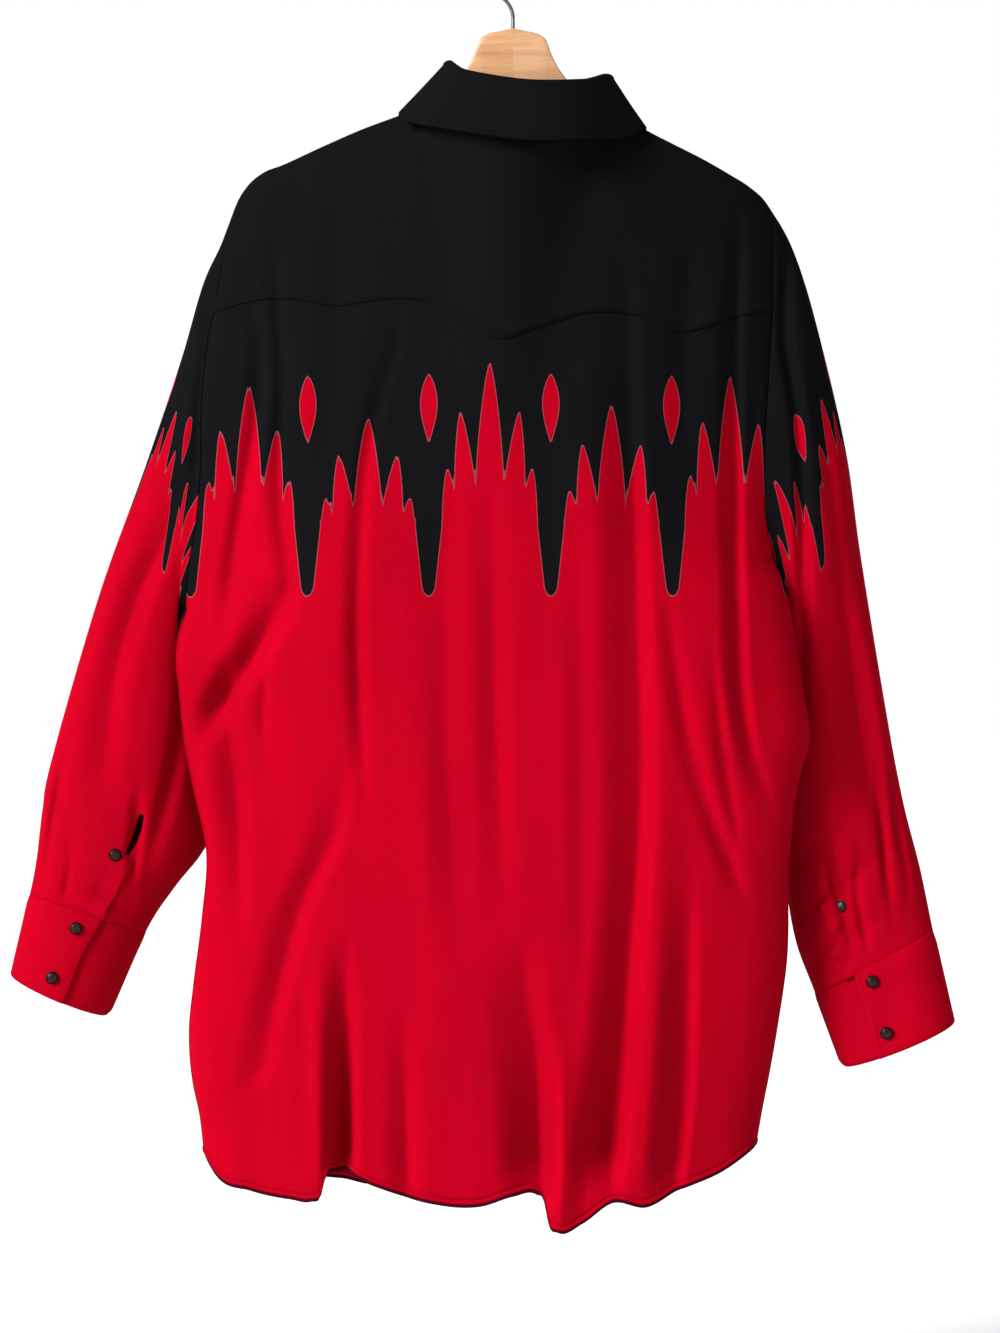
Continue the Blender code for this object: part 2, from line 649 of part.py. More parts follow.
def collar_leaf():
    """The turned-down leaf: it rolls over the stand's edge and hangs to its points."""
    rows = []
    for angle in LEAF_ANGLES:
        fold = point_at(COLLAR_FOLD, angle)
        away = outward(COLLAR_FOLD, angle)
        lower = point_at(COLLAR_EDGE, angle)
        top = fold - away * 2.4 * MM
        turn = fold + away * (FOLD_OUT - 0.9 * MM) - (0, 0, 0.9 * MM)
        side = fold + away * FOLD_OUT - (0, 0, FOLD_RISE)
        column = [top, fold + away * 0.4 * MM + (0, 0, 0.2 * MM), turn, side]
        for step in (0.3, 0.65, 1):
            swell = 3.4 * abs(math.sin(math.radians(angle))) - 0.6
            bulge = away * swell * MM * math.sin(math.pi * step)
            column.append(side + (lower - side) * step + bulge)
        lift = stand_lift(angle)
        rows.append([point + lift for point in column])
    grid = np.array(rows).transpose(1, 0, 2)
    return wall("collar_leaf", turned_over(cells_of(grid)), FIRM, "black_cotton")


# ------------------------------------------------------------------ cuffs and plackets
# Where the cuff's upper end and the placket's two edges lie, as shares of the sleeve's width
# from its outer edge, all on the back of the sleeve.
CUFF = {1: (0.575, 0.30), -1: (0.69, 0.42)}             # upper end, lower end beneath it
SLEEVE_PLACKET = {1: (0.42, 0.66), -1: (0.53, 0.76)}
SLEEVE_PLACKET_TOP = {1: 5.95, -1: 6.2}
CUFF_LIFT = FIRM + 0.9 * MM


def angle_of(share):
    return math.acos(1 - 2 * share)


def cuff(side, word):
    """One strip round the wrist; its upper end lies on its lower end."""
    first, last = angle_of(CUFF[side][1]), 2 * math.pi + angle_of(CUFF[side][0])
    angles = np.linspace(first, last, 31)
    lift = CUFF_LIFT * ease((angles - 1.8 * math.pi) / (first + 0.16 * math.pi))
    grid = np.array([sleeve_point(side, station, angles) for station in (8, 8.35, 8.7, 9)])
    grid[..., 1] += lift
    turn = turned_over if side > 0 else list
    return wall("cuff_" + word, turn(cells_of(grid)), FIRM, "red_cotton",
                lift=(FIRM - CLOTH) / 2)


def sampled(grid, rows, columns):
    """A grid read at places between its rows and columns."""
    count = grid.shape[1]
    result = []
    for row in rows:
        i = min(int(row), len(grid) - 2)
        line = grid[i] + (grid[i + 1] - grid[i]) * (row - i)
        points = []
        for column in columns:
            j = int(column)
            points.append(line[j] + (line[(j + 1) % count] - line[j]) * (column - j))
        result.append(points)
    return np.array(result)


def placket_spans(side):
    """Rows and columns of the sleeve's grid that its placket covers."""
    first = SLEEVE_STEPS * (SLEEVE_PLACKET_TOP[side] / 8) ** (1 / SLEEVE_SPACING)
    rows = [first] + list(range(int(first) + 1, SLEEVE_STEPS)) + [SLEEVE_STEPS - 0.02]
    count = 2 * ROWS_TO_UNDERARM
    low, high = (angle_of(share) / (2 * math.pi) * count for share in SLEEVE_PLACKET[side])
    columns = [low] + list(range(int(low) + 1, int(high) + 1)) + [high]
    return rows, columns


def sleeve_placket(side, word, sleeve):
    """The strip over the sleeve's slit, made from the sleeve's own points moved out."""
    rows, columns = placket_spans(side)
    grid = sampled(sleeve, rows, columns)
    turn = turned_over if side > 0 else list
    wall("sleeve_placket_" + word, turn(cells_of(grid)), FIRM, "red_cotton",
         lift=LAID_GAP + FIRM)


def front_placket(front):
    """The strip down the left front's edge, made from the front's own points moved out."""
    last = front.shape[1] - 2
    part = PLACKET_HALF / OVERLAP
    hem_row = ROWS_TO_UNDERARM + LOWER_ROWS
    rows = [0.02] + list(range(1, hem_row)) + [hem_row - 0.03]
    grid = sampled(front, rows, (last - part, last, last + part))
    wall("front_placket", cells_of(grid), FIRM, "black_cotton", lift=LAID_GAP + FIRM)
    return grid


# ------------------------------------------------------------------ snaps
FRONT_SNAPS = (-232, -350, -468, -586, -704, -822, -940)        # heights, mm
# Station along the sleeve and share of its width, for the placket's snap and the cuff's two.
SLEEVE_SNAPS = {1: ((6.45, 0.53), (8.2, 0.479), (8.81, 0.42)),
                -1: ((6.8, 0.65), (8.16, 0.575), (8.78, 0.585))}
SNAP_ROWS = ((0, 0.96), (0.35, 1), (0.62, 0.9), (0.8, 0.74), (0.95, 0.42))  # height, radius
SNAP_GAP = 0.5 * MM
SNAP_SIDES = 12


def snap(name, place, normal):
    """A round cap: a rim and a low dome, standing on the piece below."""
    normal = normal / np.linalg.norm(normal)
    side = np.cross(normal, (0, 0, 1.0))
    side /= np.linalg.norm(side)
    up = np.cross(side, normal)
    points = []
    for height, radius in SNAP_ROWS:
        for k in range(SNAP_SIDES):
            angle = 2 * math.pi * k / SNAP_SIDES
            around = side * math.cos(angle) + up * math.sin(angle)
            points.append(place + normal * height * SNAP_HEIGHT + around * radius * SNAP_RADIUS)
    points += [place, place + normal * SNAP_HEIGHT]
    base, cap = len(points) - 2, len(points) - 1
    last = (len(SNAP_ROWS) - 1) * SNAP_SIDES
    faces = []
    for k in range(SNAP_SIDES):
        n = (k + 1) % SNAP_SIDES
        faces += [[base, k, n], [cap, last + n, last + k]]
        for row in range(len(SNAP_ROWS) - 1):
            low, high = row * SNAP_SIDES, (row + 1) * SNAP_SIDES
            faces.append([low + k, high + k, high + n, low + n])
    return add_object(name, np.array(points).tolist(), faces, "smoke_snap")


def front_snaps(grid):
    """Seven snaps down the middle of the front placket."""
    middle = grid[:, 1]
    for number, height in enumerate(FRONT_SNAPS, 1):
        height *= MM
        y = np.interp(-height, -middle[:, 2], middle[:, 1])
        out = LAID_GAP + FIRM + SNAP_GAP
        normal = np.array((0, -1.0, 0))
        snap("snap_front_%d" % number, np.array((0, y - out, height)), normal)


def sleeve_snaps(side, word):
    """The snap on the sleeve's placket and the two on its cuff."""
    for number, (station, share) in enumerate(SLEEVE_SNAPS[side]):
        angle = angle_of(share)
        place = sleeve_point(side, station, np.array(angle))
        along = sleeve_point(side, station + 0.02, np.array(angle)) - place
        round_it = sleeve_point(side, station, np.array(angle + 0.02)) - place
        normal = np.cross(round_it, along) * side
        if normal[1] < 0:
            normal = -normal
        normal /= np.linalg.norm(normal)
        out = LAID_GAP + FIRM if number == 0 else CUFF_LIFT + (FIRM - CLOTH) / 2
        name = "snap_%s_%s" % (word, ("placket", "cuff_upper", "cuff_lower")[number])
        snap(name, place + normal * (out + SNAP_GAP), normal)


def add_trims(front, sleeves):
    """Collar, cuffs, plackets and snaps."""
    collar_stand()
    collar_leaf()
    front_snaps(front_placket(front[1]))
    for side, word in ((1, "left"), (-1, "right")):
        cuff(side, word)
        sleeve_placket(side, word, sleeves[side])
        sleeve_snaps(side, word)


# ------------------------------------------------------------------ hanger
HANGER_TOP = table("out height", (0, -66.5), (12, -69), (24, -72.5), (29, -77), (33, -88),
                   (40, -102), (55, -119), (80, -141))
HANGER_BOTTOM = table("out height", (0, -142), (40, -155), (80, -171))
HANGER_END = {1: 213 * MM, -1: -199 * MM}
ARM_HEIGHT = 24 * MM            # height of the arm out beyond the neck
JOINT_GAP = 0.3 * MM
WIRE_HOLE, WIRE_DEPTH = 2.0 * MM, 30 * MM
WOOD_SIDES = 16
HOOK_CENTRE = -20 * MM


def arm_section(side, out):
    """Depth, top and bottom of a hanger arm at a distance from its middle."""
    x = side * out
    end = abs(HANGER_END[side])
    if out <= 80 * MM:
        return 0.0, read(HANGER_TOP, "height", out), read(HANGER_BOTTOM, "height", out)
    top = read(SHOULDER_LINE[side], "height", x) - WOOD_GAP
    top = min(top, read(HANGER_TOP, "height", 80 * MM))
    beyond = (out - 80 * MM) / (abs(ARMHOLE_TOP[side][0]) - 80 * MM)
    depth = -SHOULDER_FORWARD * beyond ** 1.6
    height = 34 * MM + (ARM_HEIGHT - 34 * MM) * ease((out - 80 * MM) / (end - 80 * MM))
    return depth, top, top - height


def hanger_arm(side, word):
    """Half of the wooden hanger: rounded sections from the joint out to the arm's end."""
    end = abs(HANGER_END[side])
    places = [0.5 * JOINT_GAP, 6 * MM, 12 * MM, 19 * MM, 24 * MM, 27 * MM, 30 * MM, 33 * MM,
              40 * MM, 55 * MM]
    places += list(np.linspace(80 * MM, end - 9 * MM, 8)) + [end - 3.5 * MM, end]
    points = []
    for out in places:
        depth, top, bottom = arm_section(side, out)
        rounding = (0.45, 0.82, 1.0)[min(2, int((end - out) / (3.4 * MM)))]
        half = (WOOD_HALF + (5 * MM - WOOD_HALF) * out / end) * rounding
        middle, tall = (top + bottom) / 2, (top - bottom) / 2
        tall *= 1 - (1 - rounding) * 0.55
        for k in range(WOOD_SIDES):
            angle = 2 * math.pi * k / WOOD_SIDES
            across_part = math.copysign(abs(math.cos(angle)) ** 0.75, math.cos(angle))
            up_part = math.copysign(abs(math.sin(angle)) ** 0.9, math.sin(angle))
            points.append((side * out, depth + half * across_part, middle + tall * up_part))
    faces = [list(range(WOOD_SIDES)), [len(points) - 1 - k for k in range(WOOD_SIDES)]]
    for i in range(len(places) - 1):
        low, high = i * WOOD_SIDES, (i + 1) * WOOD_SIDES
        for k in range(WOOD_SIDES):
            n = (k + 1) % WOOD_SIDES
            faces.append([low + n, low + k, high + k, high + n])
    if side < 0:
        faces = [face[::-1] for face in faces]
    arm = add_object("hanger_arm_" + word, points, faces, "beech")
    drill(arm)
    return arm


def drill(arm):
    """Cuts the wire's hole from the top of the joint."""
    top = read(HANGER_TOP, "height", 0)
    mesh = bpy.data.meshes.new("hole")
    cutter = bmesh.new()
    bmesh.ops.create_cone(cutter, cap_ends=True, segments=12, radius1=WIRE_HOLE,
                          radius2=WIRE_HOLE, depth=2 * WIRE_DEPTH,
                          matrix=Matrix.Translation((0, 0, top)))
    cutter.to_mesh(mesh)
    cutter.free()
    hole = bpy.data.objects.new("hole", mesh)
    bpy.context.scene.collection.objects.link(hole)
    cut = arm.modifiers.new("hole", "BOOLEAN")
    cut.object, cut.operation, cut.solver = hole, "DIFFERENCE", "EXACT"
    shaped = arm.evaluated_get(bpy.context.evaluated_depsgraph_get())
    result = bpy.data.meshes.new_from_object(shaped)
    arm.modifiers.clear()
    arm.data = result
    bpy.data.objects.remove(hole, do_unlink=True)


def hook_path():
    """Middle line of the wire: up from the wood, then round over the rail."""
    path = [(0, -90), (0, -70), (0, -55), (0.6, -50), (2.6, -45.5), (6.2, -41.6)]
    path = [np.array((x, 0, z)) * MM for x, z in path]
    reach = HOOK_INNER + WIRE_RADIUS
    for angle in np.radians(np.linspace(-60, 200, 25)):
        path.append(np.array((reach * math.cos(angle), 0, HOOK_CENTRE + reach * math.sin(angle))))
    return path


def hanger_hook():
    """A round wire swept along the hook's path, with a domed end."""
    path = hook_path()
    sides, points, radii = 10, [], [WIRE_RADIUS] * len(path)
    tip = path[-1] + (path[-1] - path[-2]) / np.linalg.norm(path[-1] - path[-2]) * 1.1 * MM
    path.append(tip)
    radii.append(WIRE_RADIUS * 0.55)
    for i, place in enumerate(path):
        along = path[min(i + 1, len(path) - 1)] - path[max(i - 1, 0)]
        along /= np.linalg.norm(along)
        level = np.array((0, 1.0, 0))
        square = np.cross(along, level)
        for k in range(sides):
            angle = 2 * math.pi * k / sides
            offset = level * math.cos(angle) + square * math.sin(angle)
            points.append(place + offset * radii[i])
    faces = [list(range(sides)), [len(points) - 1 - k for k in range(sides)]]
    for i in range(len(path) - 1):
        low, high = i * sides, (i + 1) * sides
        for k in range(sides):
            n = (k + 1) % sides
            faces.append([low + k, low + n, high + n, high + k])
    faces[0], faces[1] = faces[0][::-1], faces[1][::-1]
    return add_object("hanger_hook", np.array(points).tolist(), faces, "steel_wire")


def add_hanger():
    hanger_arm(1, "left")
    hanger_arm(-1, "right")
    hanger_hook()


def main():
    clear_scene()
    front, sleeves = make_panels()
    add_trims(front, sleeves)
    add_hanger()


main()
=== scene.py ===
"""Looks of a two-colour western shirt on a wooden hanger, seen from the back.

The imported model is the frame: +Z up, +X the wearer's left, +Y the wearer's back, metres.
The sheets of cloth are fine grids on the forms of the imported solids, with the small folds that
those leave out; tables are in millimetres, one row for each section, with named columns.
"""
import math

import bmesh
import bpy
import numpy as np
from mathutils import Matrix, Vector


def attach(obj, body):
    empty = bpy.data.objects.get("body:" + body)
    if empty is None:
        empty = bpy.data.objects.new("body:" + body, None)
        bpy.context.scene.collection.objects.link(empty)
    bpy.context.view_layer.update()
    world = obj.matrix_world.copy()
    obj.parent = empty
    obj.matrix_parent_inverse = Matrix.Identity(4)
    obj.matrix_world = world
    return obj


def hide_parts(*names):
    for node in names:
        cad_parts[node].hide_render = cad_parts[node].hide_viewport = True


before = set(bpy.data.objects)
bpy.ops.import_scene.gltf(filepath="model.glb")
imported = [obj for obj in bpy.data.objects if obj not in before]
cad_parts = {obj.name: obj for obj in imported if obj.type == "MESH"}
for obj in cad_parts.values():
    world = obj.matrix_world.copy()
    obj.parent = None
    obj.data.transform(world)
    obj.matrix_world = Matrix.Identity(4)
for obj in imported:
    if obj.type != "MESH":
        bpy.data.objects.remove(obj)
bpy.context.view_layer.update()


# ---------------------------------------------------------------- back
# The back hangs from the yoke's seam as one width of brushed cotton twill, pieced from black
# cloth above and scarlet below. Its side seams run straight down to a shirt-tail hem, and the
# cloth's own weight draws it into long soft troughs that deepen towards the hem.
MM = 0.001


def table(names, *rows, key_unit=MM):
    """Named columns of a table in millimetres, as metres, ordered by the first column."""
    columns = dict(zip(names.split(), np.array(sorted(rows), dtype=float).T * MM))
    first = names.split()[0]
    columns[first] = columns[first] / MM * key_unit
    columns["key"] = columns[first]
    return columns


def read(columns, name, at):
    """Smooth curve through one column of a table, read at the given keys."""
    keys, values = columns["key"], columns[name]
    slopes = np.gradient(values, keys)
    at = np.clip(np.asarray(at, dtype=float), keys[0], keys[-1])
    i = np.clip(np.searchsorted(keys, at) - 1, 0, len(keys) - 2)
    step = keys[i + 1] - keys[i]
    t = (at - keys[i]) / step
    start = (1 + 2 * t) * (1 - t) ** 2 * values[i] + t * (1 - t) ** 2 * step * slopes[i]
    end = t * t * (3 - 2 * t) * values[i + 1] + t * t * (t - 1) * step * slopes[i + 1]
    return start + end


def ease(value):
    """A smooth step from 0 to 1."""
    value = np.clip(value, 0, 1)
    return value * value * (3 - 2 * value)


ARMHOLE_TOP = {1: (250 * MM, -232 * MM), -1: (-229 * MM, -222 * MM)}
UNDERARM_HEIGHT = {1: -571 * MM, -1: -526 * MM}
NECK_SHARE = {1: 0.28, -1: -0.39}
NECK_HALF, NECK_BACK, NECK_FRONT, NECK_TOP = 80 * MM, 55 * MM, 60 * MM, -134 * MM
NECK_DROP = {1: 23 * MM, -1: 64 * MM}
NECK_REACH = 45 * MM            # the neck opening's corners are felt this far down
SHOULDER_FORWARD = 34 * MM      # the shoulders' ends lie this far in front of the neck
ARCH = 420 * MM                 # the body reaches its full depth this far down
UNDERARM_Y = -13 * MM
BODY_EDGE = {
    1: table("height x",
             (-232, 250), (-260, 253), (-295, 257), (-332, 265), (-396, 271), (-444, 271),
             (-494, 275), (-539, 283), (-571, 286), (-592, 291), (-616, 293), (-645, 290),
             (-689, 285), (-728, 277), (-780, 266), (-842, 270), (-896, 277), (-937, 281),
             (-981, 278), (-1010, 272), (-1045, 268)),
    -1: table("height x",
              (-222, -229), (-245, -228), (-304, -227), (-364, -223), (-444, -219), (-498, -221),
              (-526, -228), (-545, -235), (-583, -243), (-642, -252), (-690, -257),
              (-712, -250), (-780, -240), (-881, -237), (-930, -230), (-971, -223),
              (-1007, -216), (-1036, -211)),
}
SHOULDER_LINE = {
    1: table("x height", (80, -134), (100, -142), (130, -152.5), (166, -167), (202, -182),
             (220, -188.5), (234, -200), (242, -212), (250, -232)),
    -1: table("x height", (-80, -134), (-100, -145), (-118, -155), (-140, -165.5), (-169, -179),
              (-190, -190), (-209, -201), (-221, -211), (-229, -222)),
}
YOKE_SEAM = table("x height",
                  (256, -312), (219, -303), (190, -303), (149, -310), (100, -305), (75, -307),
                  (40, -322), (4, -341), (-25, -331), (-70, -317), (-110, -319), (-151, -332),
                  (-170, -327), (-190, -319), (-227, -309))
BACK_HEM = table("x height",
                 (268, -1043), (256, -1060), (225, -1071), (190, -1077), (172, -1078),
                 (164, -1073), (160, -1057), (152, -1053), (119, -1064), (79, -1077), (27, -1081),
                 (0, -1073), (-20, -1072), (-26, -1077), (-30, -1096), (-38, -1103),
                 (-59, -1096), (-84, -1079), (-114, -1083), (-139, -1071), (-180, -1055),
                 (-211, -1036))
BODY_DEPTH = table("height back front",
                   (-150, 56, -62), (-300, 62, -70), (-560, 66, -74), (-800, 66, -74),
                   (-1110, 62, -70))
SIDE_DEPTH = table("drop y", (-1, -13), (0, -13), (12, -9), (30, 0), (70, 5), (150, 10),
                   (230, 14), (330, 12), (560, 8))
ARMHOLE_DEPTH = {1: 18 * MM, -1: -76 * MM}      # of its edge behind and in front
HEM_HEIGHT, COTTON_THICK = 5 * MM, 1.0 * MM
SEAM_DIP, DIP_REACH, BODY_HALF = 1.1 * MM, 3.5 * MM, 250 * MM   # cloth dips into each seam
RIPPLE, MERGED = 0.5 * MM, 0.02 * MM
SHOULDER_COLUMNS, MIDDLE_COLUMNS = 62, 92

# Each fold: how far it reaches to the wearer's left and right, then x, height and depth along
# its valley. A negative depth is a ridge. A fold runs on past its ends and fades there.
FOLD_PAST, FOLD_FADE = 40 * MM, 55 * MM
BACK_FOLDS = {
    "left of the middle": (38, 15, (-95, -271, 3), (-100, -394, 6), (-106, -565, 9),
                           (-107, -778, 12), (-100, -863, 17), (-94, -949, 22), (-84, -1040, 28)),
    "its ridge": (20, 24, (-128, -600, -1), (-126, -800, -3), (-118, -950, -5), (-110, -1050, -5)),
    "hem, to the right": (23, 11, (143, -846, 0), (142, -900, 10), (142, -948, 19),
                          (142, -1040, 30)),
    "its near ridge": (16, 20, (168, -860, -1), (167, -950, -5), (166, -1050, -7)),
    "slanting to the right side": (26, 15, (143, -693, 0), (156, -773, 7), (178, -818, 9),
                                   (193, -867, 9), (207, -923, 8), (219, -972, 5),
                                   (236, -995, 1)),
    "above the right trough": (15, 9, (97, -338, 3), (118, -411, 5), (132, -548, 7),
                               (131, -640, 8), (127, -718, 2)),
    "slanting to the left side": (16, 13, (-132, -565, 1), (-139, -623, 4), (-153, -698, 5),
                                  (-172, -757, 5), (-187, -792, 5), (-198, -825, 1)),
    "beside it": (12, 9, (-170, -610, 1), (-180, -698, 5), (-192, -765, 2)),
    "along the left armhole": (18, 9, (-198, -243, 7), (-194, -322, 10), (-192, -425, 12),
                               (-192, -494, 12), (-193, -565, 10), (-198, -660, 9),
                               (-206, -698, 7), (-222, -740, 1)),
    "middle of the hem": (42, 20, (-6, -850, 0), (-12, -905, 8), (-19, -948, 13),
                          (-24, -1050, 23)),
    "its ridge at the hem": (18, 22, (-42, -930, -1), (-42, -1000, -6), (-40, -1090, -8)),
    "left of the hem": (27, 11, (-151, -810, 1), (-149, -906, 8), (-146, -991, 11),
                        (-139, -1053, 12)),
    "right side": (34, 14, (250, -610, 1), (244, -670, 12), (238, -725, 17), (235, -786, 15),
                   (236, -840, 3)),
    "under the right arm": (30, 22, (192, -545, 2), (216, -600, 17), (246, -645, 19),
                            (276, -690, 6)),
    "crease below it": (7, 7, (212, -628, 1), (214, -655, 4), (213, -692, 1)),
    "right armhole, inner": (15, 13, (213, -215, 3), (203, -306, 8), (199, -400, 9),
                             (201, -462, 9), (190, -565, 3)),
    "right armhole, outer": (14, 13, (231, -285, 3), (219, -353, 8), (221, -400, 10),
                             (231, -462, 10), (241, -525, 9), (250, -590, 3)),
    "below the left armhole": (10, 10, (-210, -366, 1), (-215, -445, 5), (-220, -499, 5),
                               (-226, -527, 2)),
    "soft wave, middle": (22, 26, (60, -520, 1), (58, -640, 3), (54, -760, 4), (50, -860, 1)),
    "soft wave, lower": (20, 18, (95, -900, 0), (92, -980, 5), (90, -1060, 7)),
    "soft wave, right": (20, 20, (20, -420, 0), (18, -560, 3), (14, -700, 4), (6, -840, 1)),
    "soft wave, left": (18, 22, (-58, -480, 0), (-56, -640, 3), (-60, -800, 3), (-62, -900, 1)),
    "yoke, to the left": (26, 22, (-150, -190, 0), (-154, -250, 4), (-150, -330, 5),
                          (-148, -430, 2)),
    "yoke, to the right": (24, 28, (140, -180, 0), (150, -240, 4), (152, -320, 5),
                           (160, -430, 2)),
}


def trough(x, z, fold):
    """Depth of one fold at the points (x, z)."""
    left, right, *points = fold
    line = table("z x depth", *[(height, place, depth) for place, height, depth in points])
    off = x - read(line, "x", z)
    out = np.clip(np.abs(off) / np.where(off > 0, left, right) / MM, 0, 1)
    bell = (1 - out) ** 2 * (1 + 1.3 * out)
    above = ease((line["key"][-1] + FOLD_PAST - z) / FOLD_FADE)
    below = ease((z - line["key"][0] + FOLD_PAST) / FOLD_FADE)
    return bell * above * below * read(line, "depth", z)


def ripples(x, z, size, phase=0.0):
    """Slight unevenness of hanging cloth, mostly running down it."""
    wave = np.sin(x / (31 * MM) + 1.9 * np.sin(z / (170 * MM) + phase) + phase)
    wave += 0.7 * np.sin(x / (19 * MM) - 1.4 * np.sin(z / (120 * MM) + 2 * phase) + 2.1 + phase)
    wave += 0.4 * np.sin(x / (11.3 * MM) + 2.2 * np.sin(z / (90 * MM) + 1.3) + 3 * phase)
    return wave * size


def folded(x, z, folds, size, phase):
    """Depth of all the folds of a piece, with its ripples."""
    return sum(trough(x, z, fold) for fold in folds.values()) + ripples(x, z, size, phase)


def edge(side, height):
    """How far out the body's edge lies at a height."""
    return read(BODY_EDGE[side], "x", height)


def across(columns, share):
    """Height of a line that runs across the body, at shares of the width."""
    low, high = columns["key"][0], columns["key"][-1]
    return read(columns, "height", low + (share + 1) / 2 * (high - low))


def neck_angle(share, face):
    """Where round the neck opening a share of the width lies, behind or in front."""
    part = (NECK_SHARE[1] - share) / (NECK_SHARE[1] - NECK_SHARE[-1])
    return face * np.pi * np.clip(part, 0, 1)


def neckline(angle):
    """The neck opening's edge; positive angles lie behind, negative ones in front."""
    sine = np.sin(angle)
    reach = np.where(sine > 0, NECK_BACK, NECK_FRONT)
    height = NECK_TOP - np.where(sine > 0, NECK_DROP[1], NECK_DROP[-1]) * sine ** 2
    return np.stack((NECK_HALF * np.cos(angle), reach * sine, height), axis=-1)


def top_line(share, face):
    """The panels' upper edge: the shoulder lines and, between them, the neck opening."""
    points = neckline(neck_angle(share, face))
    for side in (1, -1):
        beyond = side * share >= side * NECK_SHARE[side]
        out = (share[beyond] - NECK_SHARE[side]) / (side - NECK_SHARE[side])
        x = side * NECK_HALF + (ARMHOLE_TOP[side][0] - side * NECK_HALF) * out
        height = read(SHOULDER_LINE[side], "height", x)
        points[beyond] = np.stack((x, -SHOULDER_FORWARD * out ** 1.6, height), axis=-1)
    return points


def body_y(face, x, z, share, top, folds, phase):
    """Depth of the body's cloth at the points (x, z) below the points of its upper edge."""
    y = np.zeros_like(x)
    for side in (1, -1):
        mine = share * side >= 0
        drop = ARMHOLE_TOP[side][1] - z[mine]
        part = np.clip(drop / (ARMHOLE_TOP[side][1] - UNDERARM_HEIGHT[side]), 0, 1)
        seam = read(SIDE_DEPTH, "y", UNDERARM_HEIGHT[side] - z[mine])
        round_end = (1 - part ** 4) ** (1 - 0.5 * np.abs(share[mine]) ** 6)
        edge_y = seam + (ARMHOLE_DEPTH[face] - UNDERARM_Y) * round_end
        middle = read(BODY_DEPTH, "back" if face > 0 else "front", z[mine])
        bulge = (1 - np.abs(share[mine]) ** 2.4) ** (1 - 0.5 * part ** 6)
        y[mine] = edge_y + (middle - edge_y) * bulge
    y -= face * (1 - np.abs(share) ** 16) * folded(x, z, folds, RIPPLE, phase)
    y -= face * SEAM_DIP * np.exp(-((1 - np.abs(share)) * BODY_HALF / DIP_REACH) ** 2)
    drop = top[..., 2] - z
    sine = np.abs(np.sin(neck_angle(share, face)))
    arch = np.sin(np.pi / 2 * np.clip(drop / ARCH, 0, 1)) ** (0.5 + 0.5 * sine ** 2)
    smooth = top[..., 1] * np.where(sine > 1e-9, sine, 1)
    near = ease(1 - drop / NECK_REACH)
    return y * arch + smooth * (1 - arch) + (top[..., 1] - smooth) * near


def panel(face, x, heights, share, seam, folds, phase):
    """A panel's points, drawn in from its width at the yoke's seam to the upper edge."""
    top = top_line(share, face)
    lean = np.clip((top[:, 2] - heights) / (top[:, 2] - seam), 0, 1)
    x = top[:, 0] + (x - top[:, 0]) * lean
    y = body_y(face, x, heights, np.broadcast_to(share, x.shape),
               np.broadcast_to(top, x.shape + (3,)), folds, phase)
    return np.stack((x, y, heights), axis=-1)


def between_sides(right, left, share):
    """A value that changes evenly from the right side's to the left side's."""
    return right + (left - right) * (share + 1) / 2


def back_points(share, heights):
    """The back from its upper edge, rows of heights down and shares of the width across."""
    seam = across(YOKE_SEAM, share)
    level = np.minimum(heights, seam)
    x = between_sides(edge(-1, level), edge(1, level), share)
    return panel(1, x, heights, share, seam, BACK_FOLDS, 0.3)


def rows_between(upper, lower, count, crowd=1.0):
    """Heights of rows from one line to another."""
    steps = np.linspace(0, 1, count)[:, None] ** crowd
    return upper + (lower - upper) * steps


def shoulder_shares(side):
    """Shares of the width of the columns under a shoulder, from the neck outwards."""
    return np.linspace(NECK_SHARE[side], side, SHOULDER_COLUMNS)


def select(piece):
    """Makes one piece active, and the only one selected."""
    for thing in bpy.context.selected_objects:
        thing.select_set(False)
    piece.select_set(True)
    bpy.context.view_layer.objects.active = piece


